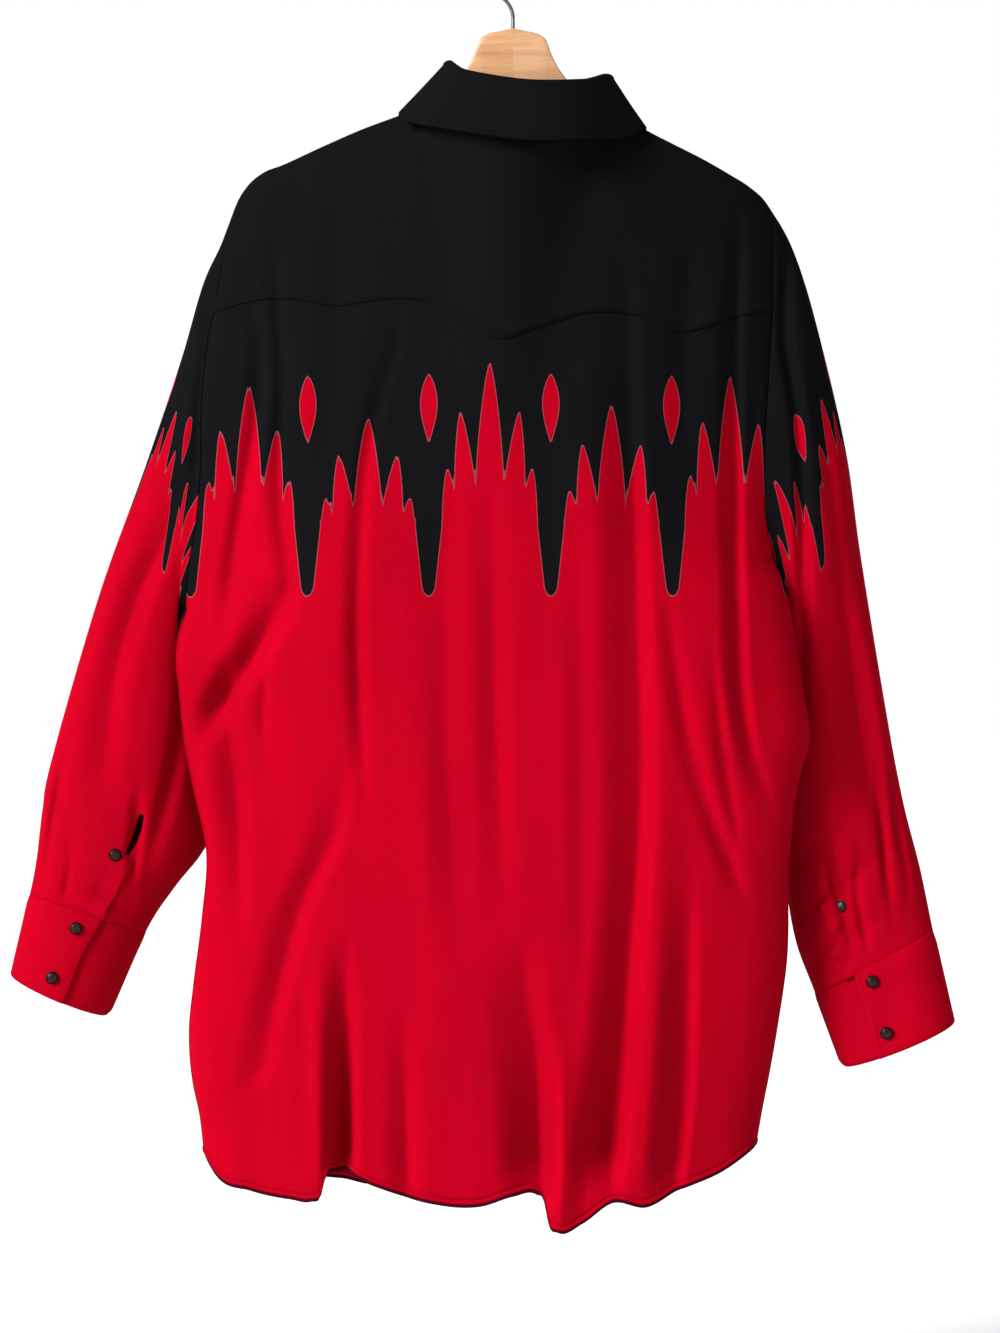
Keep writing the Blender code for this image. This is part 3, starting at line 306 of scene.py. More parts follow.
def cloth(name, thickness, finish, slot, *grids):
    """A sheet of cloth from grids of points, given its thickness on the inner side.

    Each grid has its points and may have its place in the flat cloth, whether it is turned over
    or closed round, which cells are kept, and values at its points that the material reads:
    the distance to the motif's edge or to the edge that is stitched, in millimetres.
    """
    corners, faces, flat, marks = [], [], [], {}
    for grid in grids:
        rows, columns = grid["points"].shape[:2]
        index = np.arange(rows * columns).reshape(rows, columns)
        place = grid.get("flat", grid["points"][..., [0, 2]])
        if grid.get("closed"):
            index = np.concatenate((index, index[:, :1]), axis=1)
        cells = np.stack((index[:-1, :-1], index[:-1, 1:], index[1:, 1:], index[1:, :-1]), -1)
        spots = np.stack((place[:-1, :-1], place[:-1, 1:], place[1:, 1:], place[1:, :-1]), 2)
        if grid.get("turned"):
            cells, spots = cells[..., ::-1], spots[:, :, ::-1]
        keep = grid.get("keep", np.ones(cells.shape[:2], bool))
        faces.append(cells[keep] + sum(len(part) for part in corners))
        flat.append(spots[keep].reshape(-1, 2))
        corners.append(grid["points"].reshape(-1, 3))
        for key in [key for key in ("motif", "stitch") if key in grid]:
            marks.setdefault(key, []).append(np.broadcast_to(grid[key], (rows, columns)).ravel())
    name += "_cloth"
    mesh = bpy.data.meshes.new(name)
    mesh.from_pydata(np.concatenate(corners).tolist(), [], np.concatenate(faces).tolist())
    layer = mesh.uv_layers.new(name="flat")
    layer.data.foreach_set("uv", np.concatenate(flat).ravel())
    for key, values in marks.items():
        attribute = mesh.attributes.new(key, "FLOAT", "POINT")
        attribute.data.foreach_set("value", np.concatenate(values))
    shape = bmesh.new()
    shape.from_mesh(mesh)
    bmesh.ops.delete(shape, geom=[v for v in shape.verts if not v.link_faces], context="VERTS")
    if len(grids) > 1:
        bmesh.ops.remove_doubles(shape, verts=shape.verts, dist=MERGED)
    shape.to_mesh(mesh)
    shape.free()
    mesh.materials.append(finish)
    mesh.shade_smooth()
    piece = bpy.data.objects.new(name, mesh)
    bpy.context.scene.collection.objects.link(piece)
    thick = piece.modifiers.new("thickness", "SOLIDIFY")
    thick.thickness, thick.offset = thickness, -1
    select(piece)
    bpy.ops.object.modifier_apply(modifier=thick.name)
    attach(piece, "root")
    return piece


# The border between the two colours is pieced in pointed leaves: symmetrical sprays of five,
# tall and short in turn, with a single leaf above each gap. A row each for the middle leaf, the
# two beside it and the two outer ones: how far out it starts, leans and ends, its height and
# its half width, in millimetres.
SPRAY = ((0, 0, 0, 192, 11.5), (14, 20, 25, 150, 9.5), (27, 32, 36, 102, 8))
SPRAY_STEP, SPRAY_SIZES = 104 * MM, (1.0, 0.76, 0.92, 0.7, 0.96, 0.82)
GAP_TOP, SINGLE_FOOT, SINGLE_HEIGHT, SINGLE_HALF = 60, 126, 58, 6.6
BORDER_SHIFT = 20 * MM          # the middle spray stands this far left of the middle


def to_ribbon(x, y, line_x, line_y, width):
    """Signed distance to a bent ribbon of changing half width, given by points of its line."""
    distance = np.full(x.shape, 1e3)
    for a in range(len(line_x) - 1):
        run, rise = line_x[a + 1] - line_x[a], line_y[a + 1] - line_y[a]
        t = np.clip(((x - line_x[a]) * run + (y - line_y[a]) * rise) / (run ** 2 + rise ** 2), 0, 1)
        away = np.hypot(x - line_x[a] - run * t, y - line_y[a] - rise * t)
        distance = np.minimum(distance, away - width[a] - (width[a + 1] - width[a]) * t)
    return distance


def leaf_border(u, v, step=SPRAY_STEP, tall=1.0):
    """Signed distance to the edge of the scarlet, in mm, negative inside it.

    u runs across the cloth and v up it from the border's foot line, in metres.
    """
    number = np.floor(u / step + 0.5)
    size = tall * np.choose(np.mod(number, len(SPRAY_SIZES)).astype(int), SPRAY_SIZES)
    stretch = step / SPRAY_STEP
    x, y = np.abs(u - number * step) / MM, v / MM
    gap = (4.5 + 0.11 * np.clip(y + 8, 0, 62)) * stretch
    gap = gap - np.hypot(step / MM / 2 - x, 0.5 * np.minimum(y - 4, 0))
    distance = np.maximum(gap, y - GAP_TOP * tall)
    t = np.linspace(0, 1, 15)
    for start, middle, end, height, half in SPRAY:
        line = ((1 - t) ** 2 * start + 2 * t * (1 - t) * middle + t * t * end) * stretch
        width = (half * np.sin(np.pi * (0.2 + 0.8 * t)) ** 0.8 + 0.9) * stretch
        distance = np.minimum(distance, to_ribbon(x, y / size, line,
                                                  height * t - 12 * (1 - t), width))
    width = SINGLE_HALF * np.sin(np.pi * t ** 1.2) ** 0.9 + 0.6
    single = to_ribbon(step / MM / 2 - x, y / tall, 0 * t, SINGLE_FOOT + SINGLE_HEIGHT * t, width)
    return np.minimum(distance, single)


def linear(hex_colour):
    """An sRGB hex colour as linear red, green, blue and alpha."""
    values = [int(hex_colour[i:i + 2], 16) / 255 for i in (0, 2, 4)]
    return (*[v / 12.92 if v <= 0.04045 else ((v + 0.055) / 1.055) ** 2.4 for v in values], 1)


def add(tree, kind, links=None, out=0, **settings):
    """Adds a node with its settings, links or sets its inputs, and gives one of its outputs."""
    node = tree.nodes.new("ShaderNode" + kind)
    for key, value in settings.items():
        setattr(node, key, value)
    for key, value in (links or {}).items():
        if isinstance(value, bpy.types.NodeSocket):
            tree.links.new(value, node.inputs[key])
        else:
            node.inputs[key].default_value = value
    return node.outputs[out]


def finish_of(name, **values):
    """A new material, its node tree and its shader, with the values given for the shader."""
    material = bpy.data.materials.new(name)
    material.use_nodes = True
    shader = material.node_tree.nodes["Principled BSDF"]
    for key, value in values.items():
        shader.inputs[key.replace("_", " ")].default_value = value
    return material, material.node_tree, shader


# Brushed cotton twill, dyed and pieced, is matt, with hardly any shine. Its twill line is really
# 0.5 mm wide; it is drawn 1.1 mm apart so that it still shows from a step away.
TWILL_LINE, STITCH = 1.1 * MM, 2.417 * MM
STREAK = (33.3, 33.3, 200)      # long faint streaks run with the warp, mm
FLECK, CRUMPLE = 1.11 * MM, 38.5 * MM       # spots of uneven dye, and soft crumples
TOPSTITCH_IN, TOPSTITCH_HALF, THREAD_HALF = 3.6, 0.5, 0.38      # mm from an edge, half widths


def twill(name, upper, lower=None, thread="743c42"):
    """Twill of one colour, or pieced from two along the border with a line of stitches."""
    material, tree, shader = finish_of(name, Roughness=0.88, Specular_IOR_Level=0.012)
    place = add(tree, "UVMap", uv_map="flat")
    u, v = add(tree, "SeparateXYZ", {0: place}).node.outputs[:2]
    solid = add(tree, "TexCoord", out="Object")
    # cloth is never one even colour
    drawn = add(tree, "Mapping", {"Vector": solid, "Scale": [1 / (s * MM) for s in STREAK]})
    streak = add(tree, "TexNoise", {"Vector": drawn, "Scale": 1.0, "Detail": 4.0})
    fleck = add(tree, "TexNoise", {"Vector": solid, "Scale": 1 / FLECK, "Detail": 2.0})
    tone = add(tree, "MapRange", {0: streak, 1: 0.3, 2: 0.7, 3: 0.9, 4: 1.08})
    speck = add(tree, "MapRange", {0: fleck, 1: 0.3, 2: 0.7, 3: 0.93, 4: 1.07})
    shade = add(tree, "Math", {0: tone, 1: speck}, operation="MULTIPLY")
    colour = linear(upper)
    if lower:
        motif = add(tree, "Attribute", out="Fac", attribute_name="motif")
        inside = add(tree, "MapRange", {0: motif, 1: 0.25, 2: -0.25, 3: 0.0, 4: 1.0})
        colour = add(tree, "Mix", {0: inside, 6: colour, 7: linear(lower)}, out=2,
                     data_type="RGBA")
        # a line of stitches in a dull rose thread holds the edges down
        line = add(tree, "Math", {0: motif, 1: 0.0, 2: THREAD_HALF}, operation="COMPARE")
        run = add(tree, "Math", {0: u, 1: v})
        pitch = add(tree, "Math", {0: run, 1: 2 * math.pi / STITCH}, operation="MULTIPLY")
        dash = add(tree, "Math", {0: pitch}, operation="SINE")
        gap = add(tree, "MapRange", {0: dash, 1: -0.9, 2: -0.5, 3: 0.35, 4: 0.8})
        stitch = add(tree, "Math", {0: line, 1: gap}, operation="MULTIPLY")
        colour = add(tree, "Mix", {0: stitch, 6: colour, 7: linear(thread)}, out=2,
                     data_type="RGBA")
    # topstitching in thread of the cloth's own colour, seen as a darker line inside an edge
    near = add(tree, "Attribute", out="Fac", attribute_name="stitch")
    row = add(tree, "Math", {0: near, 1: TOPSTITCH_IN, 2: TOPSTITCH_HALF}, operation="COMPARE")
    shade = add(tree, "Math", {0: row, 1: -0.2, 2: shade}, operation="MULTIPLY_ADD")
    tinted = add(tree, "Mix", {0: 1.0, 6: colour, 7: shade}, out=2, data_type="RGBA",
                 blend_type="MULTIPLY")
    tree.links.new(tinted, shader.inputs["Base Color"])
    # the twill line runs diagonally across the flat cloth
    diagonal = add(tree, "Math", {0: u, 1: v}, operation="SUBTRACT")
    turns = add(tree, "Math", {0: diagonal, 1: 2 * math.pi / TWILL_LINE}, operation="MULTIPLY")
    rib = add(tree, "Math", {0: turns}, operation="SINE")
    crumple = add(tree, "TexNoise", {"Vector": solid, "Scale": 1 / CRUMPLE, "Detail": 5.0,
                                     "Roughness": 0.6})
    weave = add(tree, "Bump", {"Height": rib, "Strength": 0.25, "Distance": 0.12 * MM})
    rumple = add(tree, "Bump", {"Height": crumple, "Strength": 0.5, "Distance": 2.2 * MM,
                                "Normal": weave})
    tree.links.new(rumple, shader.inputs["Normal"])
    return material


BLACK, SCARLET = "0c0c0e", "910014"
pieced_cotton = twill("pieced_cotton_twill", BLACK, SCARLET)
black_cotton = twill("black_cotton_twill", BLACK)
scarlet_cotton = twill("scarlet_cotton_twill", SCARLET)

BORDER_FOOT = -556 * MM
BORDER_LOW = -610 * MM          # rows of points lie closer together above this height
middle = np.linspace(NECK_SHARE[-1], NECK_SHARE[1], MIDDLE_COLUMNS)[1:-1]
back_share = np.concatenate((shoulder_shares(-1)[::-1], middle, shoulder_shares(1)))
seam_line = across(YOKE_SEAM, back_share)
hem_line = across(BACK_HEM, back_share)
heights = np.concatenate((rows_between(seam_line, BORDER_LOW, 126),
                          rows_between(BORDER_LOW, hem_line + HEM_HEIGHT, 84)[1:]))
points = back_points(back_share, heights)
motif = leaf_border(points[..., 0] - BORDER_SHIFT, heights - BORDER_FOOT)
back = cloth("back", COTTON_THICK, pieced_cotton, "red_cotton", dict(points=points, motif=motif))
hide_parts("back_upper", "back_lower")


# ---------------------------------------------------------------- yoke
# The yoke is one piece of black twill, pointed in the middle of the back and carried over the
# shoulders. It is turned under and stitched down, so it laps over the back and both fronts.
LAP, LAP_LIFT, LAP_RISE = 1.4 * MM, 0.85 * MM, 22 * MM
WRAP_DROP = (29 * MM, 32 * MM)      # the yoke reaches this far down in front, right and left
WRAP_ROWS, NECK_COLUMNS, OVERLAP_COLUMNS = 14, 34, 13
OVERLAP, FRONT_LIFT = 18 * MM, 3.4 * MM
FRONT_FOLDS = {
    "left": (26, 34, (120, -420, 0), (112, -720, 12), (128, -1080, 22)),
    "left armhole": (22, 22, (190, -240, 4), (186, -480, 12), (196, -700, 3)),
    "right": (34, 24, (-110, -380, 0), (-104, -700, 14), (-90, -1080, 24)),
    "right armhole": (22, 22, (-180, -240, 4), (-176, -460, 11), (-190, -690, 3)),
    "by the middle": (22, 22, (52, -760, 0), (56, -900, 8), (60, -1090, 14)),
    "its ridge": (20, 20, (84, -560, 0), (86, -800, -4), (92, -1070, -6)),
    "far right": (18, 16, (-150, -640, 0), (-158, -820, 6), (-168, -1040, 10)),
    "far left": (18, 18, (166, -640, 0), (176, -830, 6), (190, -1040, 8)),
    "beside the middle": (18, 20, (-48, -520, 0), (-50, -760, 4), (-46, -1060, 9)),
}


def lifted_front(x):
    """How far the left front stands forward, over the right one."""
    return FRONT_LIFT * ease((70 * MM - x) / (40 * MM))


def wrap_line(share):
    """Height of the yoke's lower edge in front."""
    return top_line(share, -1)[:, 2] - between_sides(*WRAP_DROP, share)


def front_points(side, columns, heights):
    """One front at rows of heights; its columns are share, part of the width and reach past."""
    share, part, past = columns
    wrap = wrap_line(share)
    outer = edge(side, np.minimum(heights, wrap))
    x = outer + (side * OVERLAP - outer) * part - side * past
    points = panel(-1, x, heights, share, wrap, FRONT_FOLDS, 1.7)
    if side > 0:
        points[..., 1] -= lifted_front(points[..., 0])
    return points


def share_above(x):
    """Share of the width of the columns that meet the front neckline at x."""
    part = np.arccos(x / NECK_HALF) / np.pi
    return NECK_SHARE[1] + (NECK_SHARE[-1] - NECK_SHARE[1]) * part


def front_columns(side):
    """The columns of a front, armhole first: share, part of the width, reach past the middle."""
    past = np.linspace(0, 2 * OVERLAP, OVERLAP_COLUMNS)
    near = share_above(side * (OVERLAP - past))
    neck = np.linspace(NECK_SHARE[side], near[0], NECK_COLUMNS)[1:-1]
    share = np.concatenate((shoulder_shares(side)[::-1], neck, near))
    part = np.clip((share - side) / (near[0] - side), 0, 1)
    reach = np.zeros(len(share))
    reach[-OVERLAP_COLUMNS:] = past
    return share, part, reach


def outward(points, turned=False):
    """Unit normals of a grid of points."""
    down, along = np.gradient(points, axis=0), np.gradient(points, axis=1)
    normal = np.cross(along, down)
    normal /= np.linalg.norm(normal, axis=-1)[..., None] + 1e-12
    return -normal if turned else normal


def lapped(points, low_line, turned=False):
    """A panel's points, lifted towards its lower edge so that it lies on the next panel."""
    rise = LAP_LIFT * ease(1 - (points[..., 2] - low_line) / LAP_RISE)
    return points + outward(points, turned) * rise[..., None]


low = seam_line - LAP
rows = rows_between(top_line(back_share, 1)[:, 2], low, 70, crowd=1.4)
points = lapped(back_points(back_share, rows), low)
for shoulder in (slice(None, SHOULDER_COLUMNS), slice(-SHOULDER_COLUMNS, None)):
    points[0, shoulder] = top_line(back_share[shoulder], 1)
yoke_grids = [dict(points=points, stitch=(rows - low) / MM)]
for side in (1, -1):
    columns = [column[:SHOULDER_COLUMNS] for column in front_columns(side)]
    top, low = top_line(columns[0], -1), wrap_line(columns[0]) - LAP
    rows = rows_between(top[:, 2], low, WRAP_ROWS, crowd=1.4)
    points = lapped(front_points(side, columns, rows), low, side < 0)
    points[0] = top
    yoke_grids.append(dict(points=points, turned=side < 0, stitch=(rows - low) / MM))
yoke = cloth("yoke", 0.7 * MM, black_cotton, "black_cotton", *yoke_grids)
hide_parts("yoke")


# ---------------------------------------------------------------- fronts
# Two fronts of the same twill, black above and scarlet below with the same border, hang from
# the yoke. The left one lies over the right one in the middle, where the snaps hold it.
FRONT_HEM = table("x height",
                  (268, -1043), (245, -1062), (190, -1072), (120, -1080), (30, -1084),
                  (-60, -1082), (-140, -1070), (-185, -1054), (-211, -1036))
SIDES = ((1, "left"), (-1, "right"))
for side, word in SIDES:
    columns = front_columns(side)
    top, wrap = top_line(columns[0], -1)[:, 2], wrap_line(columns[0])
    hem = across(FRONT_HEM, columns[0]) + HEM_HEIGHT
    rows = np.concatenate((rows_between(top, wrap, WRAP_ROWS), rows_between(wrap, hem, 190)[1:]))
    points = front_points(side, columns, rows)
    keep = np.ones((len(rows) - 1, len(columns[0]) - 1), bool)
    keep[:WRAP_ROWS - 1, :SHOULDER_COLUMNS - 1] = False     # the yoke takes the cloth's place
    motif = leaf_border(points[..., 0] - BORDER_SHIFT, rows - BORDER_FOOT)
    piece = cloth("front_" + word, COTTON_THICK, pieced_cotton, "red_cotton",
                  dict(points=points, turned=side < 0, keep=keep, motif=motif))
    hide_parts("front_%s_upper" % word, "front_%s_lower" % word)


# ---------------------------------------------------------------- hems
# The hems are rolled: the raw edge is turned over twice and overlocked, which makes a firm
# round edge 5 mm deep. Its lowest 3 mm are painted dark wine red as painted shade under the roll.
# painted shade: the dark wine red of the rolled hem's shaded underside
SHADED_HEM_RED = "38040f"
ROLL_TOP = HEM_HEIGHT + 1.5 * MM        # the rolled strip starts this far above the edge
STRIP_THICK, ROLL_ROWS = 2.0 * MM, 8
# scarlet above, and painted shade in dark wine red for the hem's lowest 3 mm and the line along its
# top
shaded_rolled_edge = twill("rolled_cotton_edge_painted_shade", SCARLET, SHADED_HEM_RED, SHADED_HEM_RED)


def hem_strip(name, points, turned):
    """A rolled strip along the lowest edge of a panel, from rows of points down it."""
    swell = 0.25 + 0.6 * np.sin(np.pi * np.linspace(0, 1, len(points)))
    thread = np.linspace(3.4, -3, len(points))[:, None]     # mm above the painted shade along the hem's lowest edge
    points = points + outward(points, turned) * swell[:, None, None] * MM
    piece = cloth(name, STRIP_THICK, shaded_rolled_edge, "red_cotton",
                  dict(points=points, turned=turned, motif=thread))
    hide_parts(name)
    return piece


rows = rows_between(hem_line + ROLL_TOP, hem_line, ROLL_ROWS)
hem = hem_strip("hem_back", back_points(back_share, rows), False)
for side, word in SIDES:
    columns = front_columns(side)
    line = across(FRONT_HEM, columns[0])
    points = front_points(side, columns, rows_between(line + ROLL_TOP, line, ROLL_ROWS))
    hem = hem_strip("hem_" + word, points, side < 0)


# ---------------------------------------------------------------- sleeves
# Each sleeve is one width of twill, seamed along its inner side and set into the armhole. Black
# runs down to the elbow's border and scarlet below it. It hangs empty, so it creases along
# its length, and puckers where the placket is stitched on.
SLEEVE = {
    1: table("station out_x out_z in_x in_z out_y in_y half",
             (0, 250, -232, 286, -571, -34, -13, 36), (0.5, 258, -252, 290, -580, -36, -18, 37),
             (1, 270, -277, 293, -592, -37, -24, 38), (2, 292, -351, 293, -632, -36, -38, 40),
             (3, 324, -447, 284, -680, -34, -50, 41), (4, 364, -559, 270, -726, -32, -55, 41),
             (5, 406, -704, 268, -768, -32, -50, 38), (6, 414, -748, 276, -788, -32, -46, 36),
             (7, 419, -790, 299, -817, -32, -42, 34), (8, 425, -822, 323, -854, -32, -38, 31),
             (9, 441, -891, 356, -928, -32, -36, 29),
             key_unit=1),
    -1: table("station out_x out_z in_x in_z out_y in_y half",
              (0, -229, -222, -228, -526, -34, -13, 36),
              (0.5, -238, -236, -229.5, -536, -36, -18, 37),
              (1, -246, -252, -232, -550, -37, -24, 38), (2, -265, -311, -239, -596, -36, -38, 40),
              (3, -293, -426, -238, -655, -42, -50, 41), (4, -308, -525, -231, -704, -48, -55, 41),
              (5, -330, -658, -234, -760, -50, -50, 38), (6, -345, -739, -241, -812, -48, -46, 36),
              (7, -360, -800, -250, -864, -44, -42, 34), (8, -371, -856, -266, -908, -38, -38, 31),
              (9, -388, -933, -290, -973, -32, -36, 29),
              key_unit=1),
}
SLEEVE_FOLDS = {
    1: {"along the sleeve": (26, 20, (290, -440, 1), (301, -501, 6), (328, -562, 9),
                             (345, -619, 9), (357, -716, 3)),
        "inner crease": (10, 14, (282, -600, 1), (290, -660, 6), (300, -720, 6), (318, -790, 2)),
        "slit, beside the placket": (9, 9, (327, -728, 1), (328, -752, 5), (331, -790, 5),
                                     (334, -812, 1)),
        "at the elbow": (8, 10, (392, -690, 1), (398, -730, 5), (404, -762, 6), (408, -800, 2)),
        "above the cuff": (6, 6, (386, -790, 1), (390, -815, 3), (396, -840, 3)),
        "shoulder": (14, 14, (262, -300, 1), (268, -380, 4), (276, -450, 4), (282, -520, 1))},
    -1: {"along the armhole": (10, 12, (-242, -245, 3), (-237, -338, 6), (-246, -396, 7),
                               (-251, -475, 7), (-253, -545, 6), (-254, -690, 2)),
         "above the elbow": (42, 22, (-282, -520, 1), (-294, -590, 9), (-305, -670, 15),
                             (-318, -765, 3)),
         "elbow crease": (7, 8, (-318, -720, 1), (-322, -750, 5), (-326, -800, 5),
                          (-330, -830, 1)),
         "outer crease": (7, 7, (-334, -700, 1), (-338, -760, 4), (-346, -810, 2)),
         "pucker at the placket": (8, 9, (-272, -762, 1), (-277, -790, 7), (-284, -825, 5),
                                   (-294, -862, 2)),
         "pucker beside it": (6, 6, (-302, -790, 1), (-300, -815, 4), (-306, -850, 4),
                              (-312, -880, 1)),
         "shoulder": (12, 12, (-258, -330, 1), (-268, -400, 3), (-280, -480, 4),
                      (-290, -560, 1))},
}


# Where the plackets are stitched on, the cloth is crumpled: centre, reach both ways, depth.
CRUMPLES = {1: (348, -824, 20, 20, 3.4), -1: (-284, -826, 28, 66, 5.4)}
FRONT_FLAT = 2 * MM             # the sleeve is this much flatter in front
DIP_STATIONS = 0.035            # the dip into the armhole's seam, in stations of the sleeve


def crumpled(x, z, side):
    """Small sharp creases where stitches have pulled the cloth together."""
    centre_x, centre_z, reach_x, reach_z, depth = np.array(CRUMPLES[side]) * MM
    near = np.exp(-((x - centre_x) / reach_x) ** 2 - ((z - centre_z) / reach_z) ** 2)
    one = np.abs(np.sin((0.7 * side * x - z) / (17 * MM)))
    two = np.abs(np.sin((x * side + 0.5 * z) / (12 * MM) + 0.7))
    return depth * near * (1 - one - 0.5 * two)


def sleeve_skin(side, station, angle):
    """Smooth surface of a sleeve; angle 0 is the outer edge and pi the inner one."""
    part = (1 - np.cos(angle)) / 2
    value = {name: read(SLEEVE[side], name, station) for name in SLEEVE[side]}
    x = value["out_x"] + (value["in_x"] - value["out_x"]) * part
    z = value["out_z"] + (value["in_z"] - value["out_z"]) * part
    y = value["out_y"] + (value["in_y"] - value["out_y"]) * part + value["half"] * np.sin(angle)
    return np.stack(np.broadcast_arrays(x, y, z), axis=-1)


def armhole(side, angle):
    """The body's own edge, which the sleeve is sewn to."""
    top, under = ARMHOLE_TOP[side][1], UNDERARM_HEIGHT[side]
    height = (top + (under - top) * (1 - np.cos(angle)) / 2)[:, None]
    one = np.array([float(side)])
    behind = back_points(one, height)[:, 0]
    before = front_points(side, (one, np.zeros(1), np.zeros(1)), height)[:, 0]
    return np.where((np.sin(angle) >= 0)[:, None], behind, before)


def sleeve_points(side, station, angle):
    """The sleeve's cloth, from the armhole's curve, with its folds."""
    points = sleeve_skin(side, station, angle)
    seam = armhole(side, angle) - sleeve_skin(side, np.zeros((1, 1)), angle)[0]
    points = points + seam * ((1 - np.clip(station / 3, 0, 1)) ** 2)[..., None]
    behind = ease(np.sin(angle) * 2.2) * ease(station / 0.4)
    x, z = points[..., 0], points[..., 2]
    depth = folded(x, z, SLEEVE_FOLDS[side], 0.45 * MM, 0.9 * side)
    depth = depth * (1 - ease((station - 7.5) / 0.45)) + crumpled(x, z, side)
    before = ease(-np.sin(angle) * 2.2) * ease(station / 0.4)
    points[..., 1] -= behind * depth - before * (ripples(x, z, 0.7 * MM, 2.0) - FRONT_FLAT)
    points[..., 1] += np.sin(angle) * SEAM_DIP * (1 - np.exp(-(station / DIP_STATIONS) ** 2))
    return points


def run_along(points, axis):
    """Length of the cloth from the first row or column, in metres."""
    steps = np.linalg.norm(np.diff(points, axis=axis), axis=-1)
    first = np.zeros_like(np.take(steps, [0], axis=axis))
    return np.cumsum(np.concatenate((first, steps), axis=axis), axis=axis)


SLIT = (330 * MM, -768 * MM)        # the left sleeve's slit gapes above its placket
SLIT_HALF, SLIT_REACH = 1.5 * MM, 19 * MM
SLEEVE_FOOT = {1: (3.35, 2.15), -1: (3.45, 2.6)}        # station of the border, outer and inner
SLEEVE_ROWS, SLEEVE_COLUMNS, SLEEVE_WIDTH = 190, 160, 420 * MM
SLEEVE_SPRAY, SLEEVE_TALL, SLEEVE_SHIFT = 84 * MM, 0.72, 30 * MM
sleeve_angle = np.linspace(0, 2 * np.pi, SLEEVE_COLUMNS, endpoint=False)
for side, word in SIDES:
    station = (8 * np.linspace(0, 1, SLEEVE_ROWS) ** 1.15)[:, None]
    points = sleeve_points(side, station, sleeve_angle)
    keep = np.ones((SLEEVE_ROWS - 1, SLEEVE_COLUMNS), bool)
    if side > 0:
        behind = points[:, :SLEEVE_COLUMNS // 2]
        away = np.hypot(behind[..., 0] - SLIT[0], behind[..., 2] - SLIT[1])
        column = np.argmin(away.min(axis=0))
        gape = np.sqrt(np.clip(1 - ((points[:, column, 2] - SLIT[1]) / SLIT_REACH) ** 2, 0, 1))
        keep[:, column] = np.minimum(gape[1:], gape[:-1]) < 0.2
        for step in range(7):
            points[:, column - step, 0] += gape * SLIT_HALF * 0.75 ** step
            points[:, column + 1 + step, 0] -= gape * SLIT_HALF * 0.75 ** step
    length = run_along(points, 0)
    around = np.linspace(0, SLEEVE_WIDTH, SLEEVE_COLUMNS + 1)
    outer, inner = SLEEVE_FOOT[side]
    level = outer + (inner - outer) * (1 - np.cos(sleeve_angle)) / 2
    foot = [np.interp(at, station[:, 0], column) for at, column in zip(level, length.T)]
    motif = leaf_border(np.broadcast_to(around[:-1] + SLEEVE_SHIFT, length.shape),
                        foot - length, step=SLEEVE_SPRAY, tall=SLEEVE_TALL)
    flat = np.stack(np.broadcast_arrays(around, -np.append(length, length[:, :1], axis=1)), -1)
    piece = cloth("sleeve_" + word, COTTON_THICK, pieced_cotton, "red_cotton",
                  dict(points=points, flat=flat, turned=side > 0, closed=True, keep=keep,
                       motif=motif))
    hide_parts("sleeve_%s_upper" % word, "sleeve_%s_lower" % word)


# ---------------------------------------------------------------- sleeve plackets
# A strip of scarlet twill, folded to two layers, is stitched down along each sleeve's slit, above
# the cuff. Its free edge has crumpled between the stitches, the right one's most.
SLEEVE_PLACKET = {1: (0.42, 0.66), -1: (0.53, 0.76)}
SLEEVE_PLACKET_TOP = {1: 5.95, -1: 6.2}
SLEEVE_PLACKET_CORNER = {1: 6.5, -1: 6.2}       # the slit gapes above this station
CRIMP = {1: 0.4 * MM, -1: 1.7 * MM}         # how far the free edge is crumpled
STITCHED_IN, FREE_RISE = 0.4 * MM, 1.7 * MM     # the stitched edge sinks, the free one rises
RISE_RUN, CRIMP_LONG, CRIMP_SHORT = 26 * MM, 5.3 * MM, 3.4 * MM


def angle_of(share):
    """Angle round the sleeve at a share of its width, behind."""
    return math.acos(1 - 2 * share)


sleeve_plackets = {}        # their points and normals, for the snaps
for side, word in SIDES:
    low, high = SLEEVE_PLACKET[side]
    angle = np.linspace(angle_of(low), angle_of(high), 22)
    station = np.linspace(SLEEVE_PLACKET_TOP[side], 7.99, 60)[:, None]
    points = sleeve_points(side, station, angle)
    free = (angle - angle[0]) / (angle[-1] - angle[0])
    down = run_along(points, 0)
    crimp = (np.sin(down / CRIMP_SHORT) + np.sin(down / CRIMP_LONG + 1)) * CRIMP[side]
    lift = ease(down / RISE_RUN) * (FREE_RISE + crimp + CRIMP[side])
    rise = free ** 2 * lift - STITCHED_IN
    points = points + outward(points, side > 0) * rise[..., None]
    points[..., 0] += free ** 4 * crimp * 1.2
    keep = (free[:-1] < 0.6) | (station[:-1] > SLEEVE_PLACKET_CORNER[side])
    piece = cloth("sleeve_placket_" + word, 1.4 * MM, scarlet_cotton, "red_cotton",
                  dict(points=points, turned=side > 0, keep=keep))
    sleeve_plackets[side] = points, outward(points, side > 0)
    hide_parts("sleeve_placket_" + word)


# ---------------------------------------------------------------- cuffs
# Each cuff is two layers of scarlet twill with a stiffener between them, sewn on to the sleeve's
# foot. Its upper end laps over the lower one, and a line of stitches runs round its edges.
CUFF = {1: (0.66, 0.565, 0.30), -1: (0.69, 0.69, 0.42)}     # lap's top and foot, under end
CUFF_SUNK = {1: 0.7 * MM, -1: 0.6 * MM}     # the seam's edge, below the sleeve's face
CUFF_LIFT, CUFF_STAND, CUFF_BOW = 3.1 * MM, 1.6 * MM, 3.2 * MM
CUFF_TOP, CUFF_DEEP = 7.95, 1.05            # in stations of the sleeve


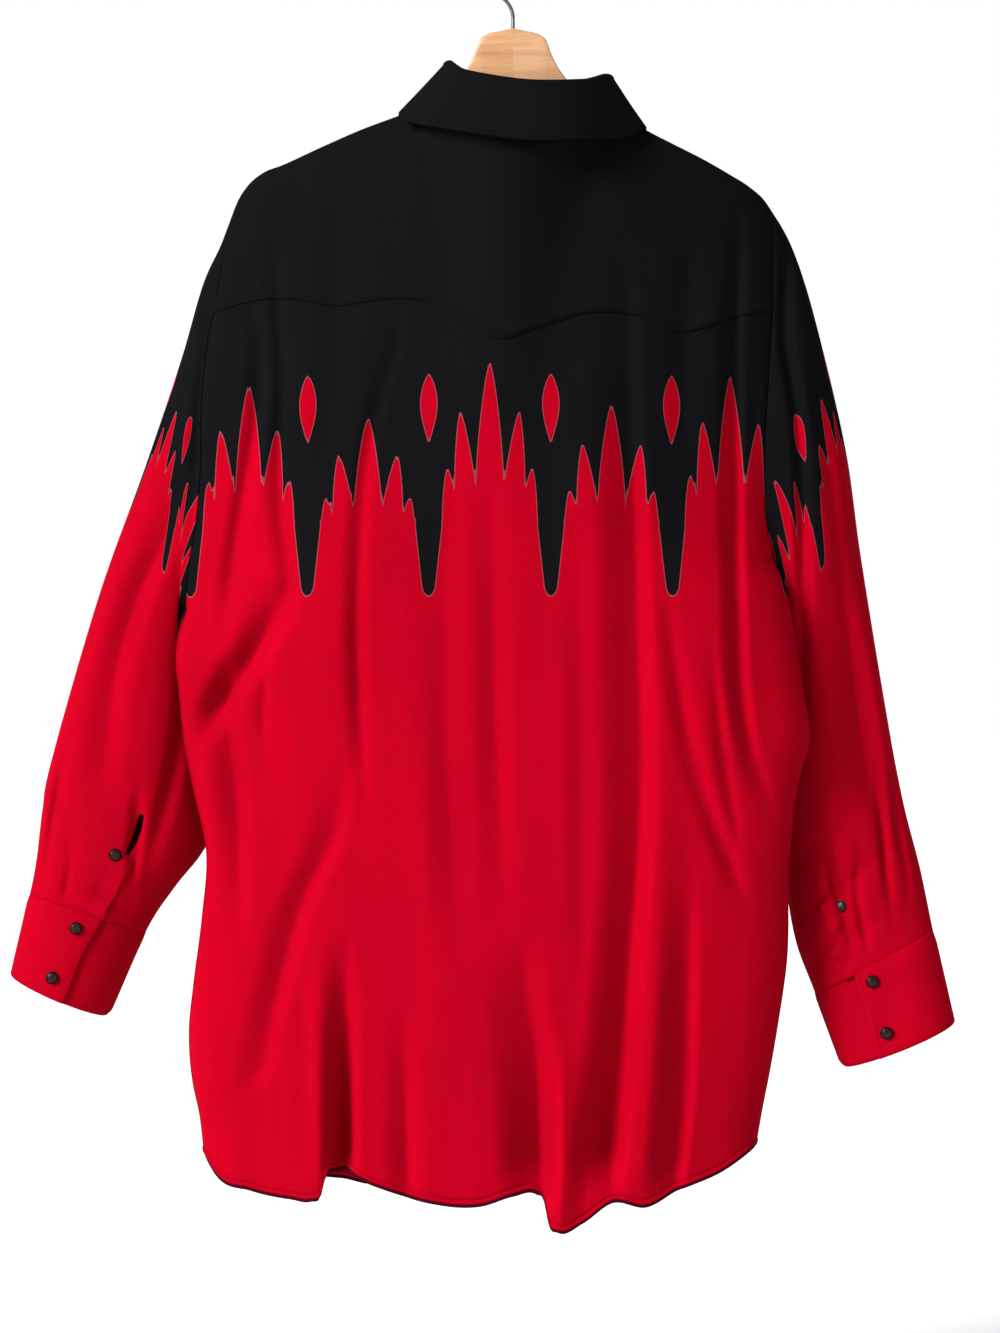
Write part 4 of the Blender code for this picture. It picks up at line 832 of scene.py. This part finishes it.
def edge_distance(points):
    """Distance from each point to the nearest edge but the upper one, in mm."""
    down, along = run_along(points, 0), run_along(points, 1)
    return np.minimum.reduce((down[-1:] - down, along, along[:, -1:] - along)) / MM


for side, word in SIDES:
    top, foot, under = CUFF[side]
    step = np.linspace(0, 1, 27)[:, None]
    lap = top + (foot - top) * step + 0.008 * np.sin(9 * step)
    first = angle_of(under)
    angle = first + (2 * np.pi + np.arccos(1 - 2 * lap) - first) * np.linspace(0, 1, 150)
    corner = np.exp(-(np.sin(angle) / 0.22) ** 2) * np.where(np.cos(angle) < 0, 0.1, 0.02)
    station = CUFF_TOP + step * (CUFF_DEEP - corner)
    points = sleeve_skin(side, station, angle)
    points[..., 1] += CUFF_LIFT * ease((angle - 1.8 * math.pi) / (first + 0.16 * math.pi))
    points[..., 2] -= CUFF_BOW * np.abs(np.sin(angle)) * ease((station - 8.2) / 0.8)
    rise = CUFF_STAND * ease((station - 7.9) / 0.25) - CUFF_SUNK[side]
    points = points + outward(points, side > 0) * rise[..., None]
    run, down = run_along(points, 1), run_along(points, 0)
    points[..., 1] += np.sin(run / (17 * MM)) * 0.4 * MM + np.sin(run / (7 * MM)) * 0.15 * MM
    piece = cloth("cuff_" + word, STRIP_THICK, scarlet_cotton, "red_cotton",
                  dict(points=points, flat=np.stack((run, -down), -1), turned=side > 0,
                       stitch=edge_distance(points)))
    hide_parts("cuff_" + word)


# ---------------------------------------------------------------- front placket
# A strip of black twill, two layers thick, is stitched to the left front's edge from the collar
# to the hem. It stiffens the edge and carries the snaps.
PLACKET_HALF, PLACKET_COLUMNS, PLACKET_RISE = 17 * MM, 15, 2.6 * MM
offsets = np.linspace(PLACKET_HALF, -PLACKET_HALF, PLACKET_COLUMNS)
columns = (share_above(offsets), np.ones(PLACKET_COLUMNS), OVERLAP - offsets)
top = top_line(columns[0], -1)[:, 2]
foot = across(FRONT_HEM, columns[0]) + HEM_HEIGHT
points = front_points(1, columns, rows_between(top - 0.5 * MM, foot + 1 * MM, 200))
placket_points = points + outward(points) * PLACKET_RISE
placket = cloth("front_placket", STRIP_THICK, black_cotton, "black_cotton",
                dict(points=placket_points, flat=points[..., [0, 2]],
                     stitch=edge_distance(points)))
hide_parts("front_placket")


# ---------------------------------------------------------------- collar
# The collar's band stands up round the neck; its leaf rolls over the band's upper edge and
# hangs down to two points in front. Both are two layers with a stiffener, stitched round.
COLLAR_FOLD = table("angle x y z",
                    (-104, -18, -63, -169), (-90, -3, -64, -165), (-45, 50, -44, -130),
                    (0, 58, 0, -96), (45, 41, 38, -109), (90, -10, 52, -119.5),
                    (135, -60, 38, -117), (180, -85, 0, -108), (225, -63, -42, -140),
                    (270, -5, -62, -167), (284, 17, -61, -170), key_unit=1)
COLLAR_EDGE = table("angle x y z",
                    (-84, 58, -72, -240), (-60, 88, -52, -205), (-30, 100, -30, -165),
                    (-12, 101, -12, -147), (0, 99.5, 2, -140.5), (30, 91.5, 26, -151.5),
                    (60, 49, 57, -164), (90, -10, 66, -174), (120, -60, 57, -171.5),
                    (150, -98.5, 26, -165), (180, -116.5, 2, -152.5), (192, -116, -12, -157.5),
                    (210, -111, -30, -168), (240, -92, -52, -207), (264, -60, -72, -242),
                    key_unit=1)
FOLD_RISE, FOLD_OUT, FOLD_IN = 3.4 * MM, 3.2 * MM, 2.4 * MM     # how the leaf rolls over
LEAF_SWELL, LEAF_WAVE = 3.4, 0.6            # it stands off the yoke and waves a little, mm
STAND_ENDS, LEAF_ENDS = (-103, 283), (-84, 264)     # in degrees round the neck


def points_at(columns, angle):
    """Points of one of the collar's lines at the given angles."""
    return np.stack([read(columns, name, angle) for name in ("x", "y", "z")], axis=-1)


def stand_lift(angle):
    """Moves the left end of the collar forward, over the right end, as the fronts do."""
    x = NECK_HALF * np.cos(np.radians(np.maximum(angle, STAND_ENDS[0])))
    forward = np.where(angle < 90, lifted_front(x) * ease(-angle / 30), 0)
    return np.stack((0 * forward, -forward, 0 * forward), axis=-1)


angle = np.linspace(*STAND_ENDS, 170)
seam = neckline(np.radians(angle))
fold = points_at(COLLAR_FOLD, angle) - (0, 0, FOLD_RISE)
step = np.linspace(0, 1, 13)[:, None, None]
points = seam + (fold - seam) * step + stand_lift(angle)
run = run_along(points, 1)
stand = cloth("collar_stand", STRIP_THICK, black_cotton, "black_cotton",
              dict(points=points, flat=np.stack((run, points[..., 2]), -1),
                   stitch=edge_distance(points)))
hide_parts("collar_stand")

angle = np.linspace(*LEAF_ENDS, 190)
fold = points_at(COLLAR_FOLD, angle)
along = points_at(COLLAR_FOLD, angle + 2) - points_at(COLLAR_FOLD, angle - 2)
away = np.stack((along[:, 1], -along[:, 0], 0 * along[:, 0]), axis=-1)
away /= np.linalg.norm(away, axis=-1)[:, None]
lower = points_at(COLLAR_EDGE, angle)
side_line = fold + away * FOLD_OUT - (0, 0, FOLD_RISE)
rows = []
for turn in np.radians(np.linspace(90, 6, 9)):
    out = (FOLD_OUT + FOLD_IN) * math.cos(turn) - FOLD_IN
    rows.append(fold + away * out + (0, 0, FOLD_RISE * (math.sin(turn) - 1) + 0.4 * MM))
for step in np.linspace(0.01, 1, 30):
    swell = LEAF_SWELL * np.abs(np.sin(np.radians(angle)))[:, None] - 0.6
    sag = swell * math.sin(math.pi * step) + LEAF_WAVE * np.sin(angle / 11)[:, None] * step
    rows.append(side_line + (lower - side_line) * step + away * sag * MM)
points = np.array(rows) + stand_lift(angle)
run, down = run_along(points, 1), run_along(points, 0)
leaf = cloth("collar_leaf", STRIP_THICK, black_cotton, "black_cotton",
             dict(points=points, flat=np.stack((run, -down), -1), turned=True,
                  stitch=edge_distance(points)))
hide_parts("collar_leaf")


# ---------------------------------------------------------------- snaps
# Pressed snaps, 11 mm across: a dark plated brass ring crimped round a low smoke-grey cap of
# pearl resin. Each is riveted through the cloth: seven close the front, one each sleeve's
# placket, and two each cuff.
def pull(steps, radius):
    """Extrudes the chosen face through steps of a rise and a new radius, in mm."""
    for rise, wider in steps:
        bpy.ops.mesh.extrude_region_move(TRANSFORM_OT_translate={"value": (0, 0, rise * MM)})
        ratio = wider / radius
        bpy.ops.transform.resize(value=(ratio, ratio, 1))
        radius = wider


def turn_outwards():
    """Turns all faces of the shape in hand outwards, and leaves edit mode."""
    bpy.ops.mesh.select_all(action="SELECT")
    bpy.ops.mesh.normals_make_consistent(inside=False)
    bpy.ops.object.mode_set(mode="OBJECT")


def smoke_pearl():
    """Resin with a pearl lustre: soft cloudy bands 4 mm wide under a clear skin."""
    material, tree, shader = finish_of("smoke_pearl_resin", Roughness=0.3, Coat_Weight=0.05,
                                       Specular_IOR_Level=0.1, Coat_Roughness=0.06)
    solid = add(tree, "TexCoord", out="Object")
    cloud = add(tree, "TexNoise", {"Vector": solid, "Scale": 1 / (3.85 * MM), "Detail": 3.0,
                                   "Distortion": 1.5})
    part = add(tree, "MapRange", {0: cloud, 1: 0.35, 2: 0.65})
    colour = add(tree, "Mix", {0: part, 6: linear("120707"), 7: linear("2e1716")}, out=2,
                 data_type="RGBA")
    tree.links.new(colour, shader.inputs["Base Color"])
    return material


def plated(name, colour, rough, worn_mm):
    """Plated metal: a mirror softened by fine scratches that vary its roughness."""
    material, tree, shader = finish_of(name, Base_Color=linear(colour), Metallic=1.0)
    solid = add(tree, "TexCoord", out="Object")
    worn = add(tree, "TexNoise", {"Vector": solid, "Scale": 1 / (worn_mm * MM), "Detail": 4.0})
    dull = add(tree, "MapRange", {0: worn, 1: 0.3, 2: 0.7, 3: rough * 0.7, 4: rough * 1.5})
    tree.links.new(dull, shader.inputs["Roughness"])
    return material


FOOT_RADIUS, FOOT_HEIGHT, CAP_RADIUS = 5.4, 0.8 * MM, 4.55 * MM
# the ring's profile and then the cap's: each step's rise and new radius, in mm
SNAP_STEPS = ((0.35, 5.6), (0.35, 5.5), (0.15, 5.2), (0.0, 4.75), (-0.3, 4.6), (0.0, 4.5),
              (0.35, 4.3), (0.35, 3.7), (0.22, 2.8), (0.12, 1.8), (0.05, 0.8))
SNAP_SUNK = 0.3 * MM            # a front snap's foot, into the front strip
CUFF_FACE = 4.6 * MM            # the cuff's face, out from the sleeve's smooth surface
pearl, ring_metal = smoke_pearl(), plated("dark_plated_brass", "1c100e", 0.3, 2.0)
bpy.ops.mesh.primitive_cylinder_add(vertices=40, radius=FOOT_RADIUS * MM, depth=FOOT_HEIGHT,
                                    location=(0, 0, FOOT_HEIGHT / 2))
model_snap = bpy.context.object
model_snap.name = "snap_model"
bpy.ops.object.mode_set(mode="EDIT")
bpy.ops.mesh.select_mode(type="FACE")
bpy.ops.mesh.select_all(action="DESELECT")
bpy.ops.object.mode_set(mode="OBJECT")
for face in model_snap.data.polygons:
    face.select = face.normal.z > 0.9
bpy.ops.object.mode_set(mode="EDIT")
pull(SNAP_STEPS, FOOT_RADIUS)
turn_outwards()
model_snap.data.materials.append(ring_metal)
model_snap.data.materials.append(pearl)
for face in model_snap.data.polygons:
    face.material_index = int(face.center.xy.length < CAP_RADIUS and face.normal.z > -0.5)
model_snap.data.shade_smooth()
model_snap.data.set_sharp_from_angle(angle=math.radians(40))

FRONT_SNAPS = range(-232, -941, -118)
# station and share of the width: on the placket, and the cuff's upper and lower one
SLEEVE_SNAPS = {1: ((6.45, 0.53), (8.2, 0.479), (8.81, 0.42)),
                -1: ((6.8, 0.65), (8.16, 0.575), (8.78, 0.585))}
places = []
middle = placket_points[:, PLACKET_COLUMNS // 2]
for number, height in enumerate(FRONT_SNAPS, 1):
    y = np.interp(-height * MM, -middle[:, 2], middle[:, 1])
    places.append(("snap_front_%d" % number, (0, y - SNAP_SUNK, height * MM), (0, -1.0, 0)))
for side, word in SIDES:
    for number, (station, share) in enumerate(SLEEVE_SNAPS[side]):
        near = np.array([[station], [station + 0.02]])
        grid = sleeve_skin(side, near, angle_of(share) + np.array([0.0, 0.02]))
        normal = np.cross(grid[0, 1] - grid[0, 0], grid[1, 0] - grid[0, 0])
        normal *= np.sign(normal[1]) / np.linalg.norm(normal)
        start = grid[0, 0] + normal * CUFF_FACE
        if number == 0:
            strip, facing = sleeve_plackets[side]
            nearest = np.linalg.norm(strip - grid[0, 0], axis=-1).argmin()
            start, normal = strip.reshape(-1, 3)[nearest], facing.reshape(-1, 3)[nearest]
        name = "snap_%s_%s" % (word, ("placket", "cuff_upper", "cuff_lower")[number])
        places.append((name, start, normal))
for name, place, normal in places:
    mesh = model_snap.data.copy()
    turn = Vector(normal).to_track_quat("Z", "Y").to_matrix().to_4x4()
    mesh.transform(Matrix.Translation(place) @ turn)
    copy = bpy.data.objects.new(name + "_cap", mesh)
    bpy.context.scene.collection.objects.link(copy)
    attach(copy, "root")
    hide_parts(name)
bpy.data.objects.remove(model_snap, do_unlink=True)


# ---------------------------------------------------------------- hanger
# A contoured hanger of steamed beech under satin lacquer, in two halves glued at the middle. It
# is sawn and rounded over, and drilled from above for the hook. The shirt's yoke lies on it.
HANGER_TOP = table("out height", (0, -66.5), (12, -69), (24, -72.5), (29, -77), (33, -88),
                   (40, -102), (55, -119), (80, -141))
HANGER_BOTTOM = table("out height", (0, -142), (40, -155), (80, -171))
HANGER_END = {1: 213 * MM, -1: 199 * MM}
HANGER_NECK, UNDER_YOKE = 80 * MM, 3.6 * MM     # the arms run under the yoke beyond the neck
ARM_HALF, ARM_THINNING, ARM_TALL, ARM_TAPER = 6.5 * MM, 1.5 * MM, 34 * MM, 10 * MM
ROUNDED_OVER, HOLE_HALF, HOLE_DEEP = 4.6 * MM, 2.0 * MM, 30 * MM
GRAIN, RAY = (71.4, 11.1, 5.26), (3.125, 0.667, 0.556)  # mm along, through and up the board


def beech_wood(half, dark, pale, board):
    """Beech: long pale streaks with fine darker flecks of ray, under a satin clear coat."""
    material, tree, shader = finish_of("satin_beech_" + half, Roughness=0.42, Coat_Weight=0.35,
                                       Coat_Roughness=0.2)
    solid = add(tree, "TexCoord", out="Object")
    sawn = add(tree, "Mapping", {"Vector": solid, "Scale": [1 / (s * MM) for s in GRAIN],
                                 "Location": (0, 0, board)})
    grain = add(tree, "TexNoise", {"Vector": sawn, "Scale": 1.0, "Detail": 5.0,
                                   "Distortion": 0.6})
    cut = add(tree, "Mapping", {"Vector": solid, "Scale": [1 / (s * MM) for s in RAY]})
    ray = add(tree, "TexNoise", {"Vector": cut, "Scale": 1.0, "Detail": 2.0})
    part = add(tree, "MapRange", {0: grain, 1: 0.3, 2: 0.7})
    colour = add(tree, "Mix", {0: part, 6: linear(dark), 7: linear(pale)}, out=2,
                 data_type="RGBA")
    fleck = add(tree, "MapRange", {0: ray, 1: 0.56, 2: 0.7, 3: 0.0, 4: 0.3})
    colour = add(tree, "Mix", {0: fleck, 6: colour, 7: linear("7e5230")}, out=2,
                 data_type="RGBA")
    tree.links.new(colour, shader.inputs["Base Color"])
    pores = add(tree, "Bump", {"Height": ray, "Strength": 0.2, "Distance": 0.2 * MM})
    tree.links.new(pores, shader.inputs["Normal"])
    return material


def arm_section(side, out):
    """Centre, half thickness and half height of a hanger arm at a distance from its middle."""
    end = HANGER_END[side]
    if out <= HANGER_NECK:
        depth = 0.0
        top, bottom = (float(read(line, "height", out)) for line in (HANGER_TOP, HANGER_BOTTOM))
    else:
        top = float(read(SHOULDER_LINE[side], "height", side * out)) - UNDER_YOKE
        top = min(top, HANGER_TOP["height"][-1])
        beyond = (out - HANGER_NECK) / (abs(ARMHOLE_TOP[side][0]) - HANGER_NECK)
        depth = -SHOULDER_FORWARD * beyond ** 1.6
        taper = float(ease((out - HANGER_NECK) / (end - HANGER_NECK)))
        bottom = top - ARM_TALL + ARM_TAPER * taper
    rounding = float(np.interp(end - out, (0, 2 * MM, 5 * MM, 9 * MM), (0.45, 0.72, 0.93, 1)))
    half = (ARM_HALF - ARM_THINNING * out / end) * rounding
    tall = (top - bottom) / 2 * (1 - (1 - rounding) * 0.55)
    return (side * out, depth, (top + bottom) / 2), half, tall


# The halves are of two boards: their grain doesn't run on, and one is a shade darker.
beech = {1: beech_wood("left", "a17149", "bd8e63", 0.0),
         -1: beech_wood("right", "aa7d56", "c0956e", 3.7)}
for side, word in SIDES:
    end = HANGER_END[side]
    places = np.array([0.02, 6, 12, 17, 21, 24, 27, 29, 31, 33, 36, 40, 47, 55, 67, 80]) * MM
    places = np.concatenate((places, np.linspace(88 * MM, end - 9 * MM, 16),
                             [end - 5 * MM, end - 2 * MM, end]))
    centre, half, tall = arm_section(side, places[0])
    bpy.ops.mesh.primitive_plane_add(size=2, location=centre, rotation=(0, math.pi / 2, 0))
    arm = bpy.context.object
    arm.name = "beech_arm_" + word
    bpy.ops.object.transform_apply(location=True, rotation=True, scale=True)
    bpy.ops.object.mode_set(mode="EDIT")
    bpy.ops.mesh.select_all(action="SELECT")
    bpy.ops.transform.resize(value=(1, half, tall), center_override=centre)
    bpy.ops.mesh.bevel(offset=ROUNDED_OVER, segments=7, affect="VERTICES")
    bpy.ops.mesh.select_all(action="SELECT")
    for place in places[1:]:
        before, half_before, tall_before = centre, half, tall
        centre, half, tall = arm_section(side, place)
        step = Vector(centre) - Vector(before)
        bpy.ops.mesh.extrude_region_move(TRANSFORM_OT_translate={"value": step})
        bpy.ops.transform.resize(value=(1, half / half_before, tall / tall_before),
                                 center_override=centre)
    turn_outwards()
    bpy.ops.mesh.primitive_cylinder_add(vertices=24, radius=HOLE_HALF, depth=2 * HOLE_DEEP,
                                        location=(0, 0, HANGER_TOP["height"][0]))
    drill = bpy.context.object
    select(arm)
    cut = arm.modifiers.new("wire hole", "BOOLEAN")
    cut.object, cut.operation, cut.solver = drill, "DIFFERENCE", "EXACT"
    bpy.ops.object.modifier_apply(modifier=cut.name)
    bpy.data.objects.remove(drill, do_unlink=True)
    arm.data.materials.clear()
    arm.data.materials.append(beech[side])
    arm.data.shade_smooth()
    arm.data.set_sharp_from_angle(angle=math.radians(35))
    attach(arm, "root")
    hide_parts("hanger_arm_" + word)


# ---------------------------------------------------------------- hook
# A wire of bright plated steel, 3.2 mm thick, is driven into the wood from above, led aside and
# bent round over the rail. Its tip is ground round.
wire_metal = plated("bright_plated_steel", "6b7072", 0.3, 3.33)
BEND, WIRE, WIRE_FOOT = 21.6 * MM, 1.6 * MM, -90 * MM
NECK_BEND, HOOK_MIDDLE, HOOK_END = -57.4 * MM, -20 * MM, math.radians(200)
bpy.ops.mesh.primitive_circle_add(vertices=20, radius=WIRE, fill_type="NGON",
                                  location=(0, 0, WIRE_FOOT))
hook = bpy.context.object
hook.name = "wire_hook"
bpy.ops.object.transform_apply(location=True, rotation=True, scale=True)
bpy.ops.object.mode_set(mode="EDIT")
bpy.ops.mesh.select_all(action="SELECT")
bpy.ops.mesh.extrude_region_move(TRANSFORM_OT_translate={"value": (0, 0, NECK_BEND - WIRE_FOOT)})
bpy.ops.mesh.spin(steps=14, angle=math.radians(-60), center=(BEND, 0, NECK_BEND),
                  axis=(0, 1, 0))
bpy.ops.mesh.spin(steps=60, angle=math.radians(260), center=(0, 0, HOOK_MIDDLE), axis=(0, 1, 0))
tip = Vector((BEND * math.cos(HOOK_END), 0, HOOK_MIDDLE + BEND * math.sin(HOOK_END)))
along = Vector((-math.sin(HOOK_END), 0, math.cos(HOOK_END)))
for step, ratio in ((0.5, 0.93), (0.4, 0.8), (0.25, 0.55)):
    tip = tip + along * step * MM
    bpy.ops.mesh.extrude_region_move(TRANSFORM_OT_translate={"value": along * step * MM})
    bpy.ops.transform.resize(value=(ratio, ratio, ratio), center_override=tip)
turn_outwards()
hook.data.materials.append(wire_metal)
hook.data.shade_smooth()
hook.data.set_sharp_from_angle(angle=math.radians(50))
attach(hook, "root")
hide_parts("hanger_hook")


# ---------------------------------------------------------------- studio
# A plain pale floor under soft white daylight, with one broad lamp from above, from behind and
# from the wearer's left. The camera looks level at the shirt's back, a little to its left.
FLOOR_DROP, DISTANCE, SEEN_HEIGHT, SENSOR = 1.35, 2.8, 1.16, 24
EYE_ASIDE, EYE_HEIGHT = 11.3 * MM, -621.4 * MM
bpy.ops.mesh.primitive_plane_add(size=60, location=(0, 0, -FLOOR_DROP))
floor = bpy.context.object
floor.name = "studio_floor"
floor.data.materials.append(finish_of("matt_white_floor", Base_Color=linear("f7f7f7"),
                                      Roughness=1.0)[0])

world = bpy.data.worlds.new("soft_white")
bpy.context.scene.world = world
world.use_nodes = True
sky = world.node_tree.nodes["Background"]
seen = add(world.node_tree, "LightPath", out="Is Camera Ray")
glow = add(world.node_tree, "MapRange", {0: seen, 3: 0.5, 4: 1.0})
sky.inputs["Color"].default_value = linear("ffffff")
world.node_tree.links.new(glow, sky.inputs["Strength"])


def soft_sun(name, strength, spread, towards):
    """A broad soft light that shines from a place towards the shirt."""
    light = bpy.data.lights.new(name, "SUN")
    light.energy, light.angle = strength, math.radians(spread)
    lamp = bpy.data.objects.new(name, light)
    lamp.rotation_euler = (-Vector(towards)).to_track_quat("-Z", "Y").to_euler()
    bpy.context.scene.collection.objects.link(lamp)


soft_sun("window", 6.6, 26, (1.28, 1.0, 0.8))
bpy.context.scene.view_settings.view_transform = "Standard"

camera = bpy.data.objects.new("camera", bpy.data.cameras.new("camera"))
camera.location = (EYE_ASIDE, DISTANCE, EYE_HEIGHT)
camera.rotation_euler = (math.radians(90), 0, math.radians(180))
camera.data.sensor_fit, camera.data.sensor_height = "VERTICAL", SENSOR
camera.data.lens = SENSOR * DISTANCE / SEEN_HEIGHT
bpy.context.scene.collection.objects.link(camera)
bpy.context.scene.camera = camera
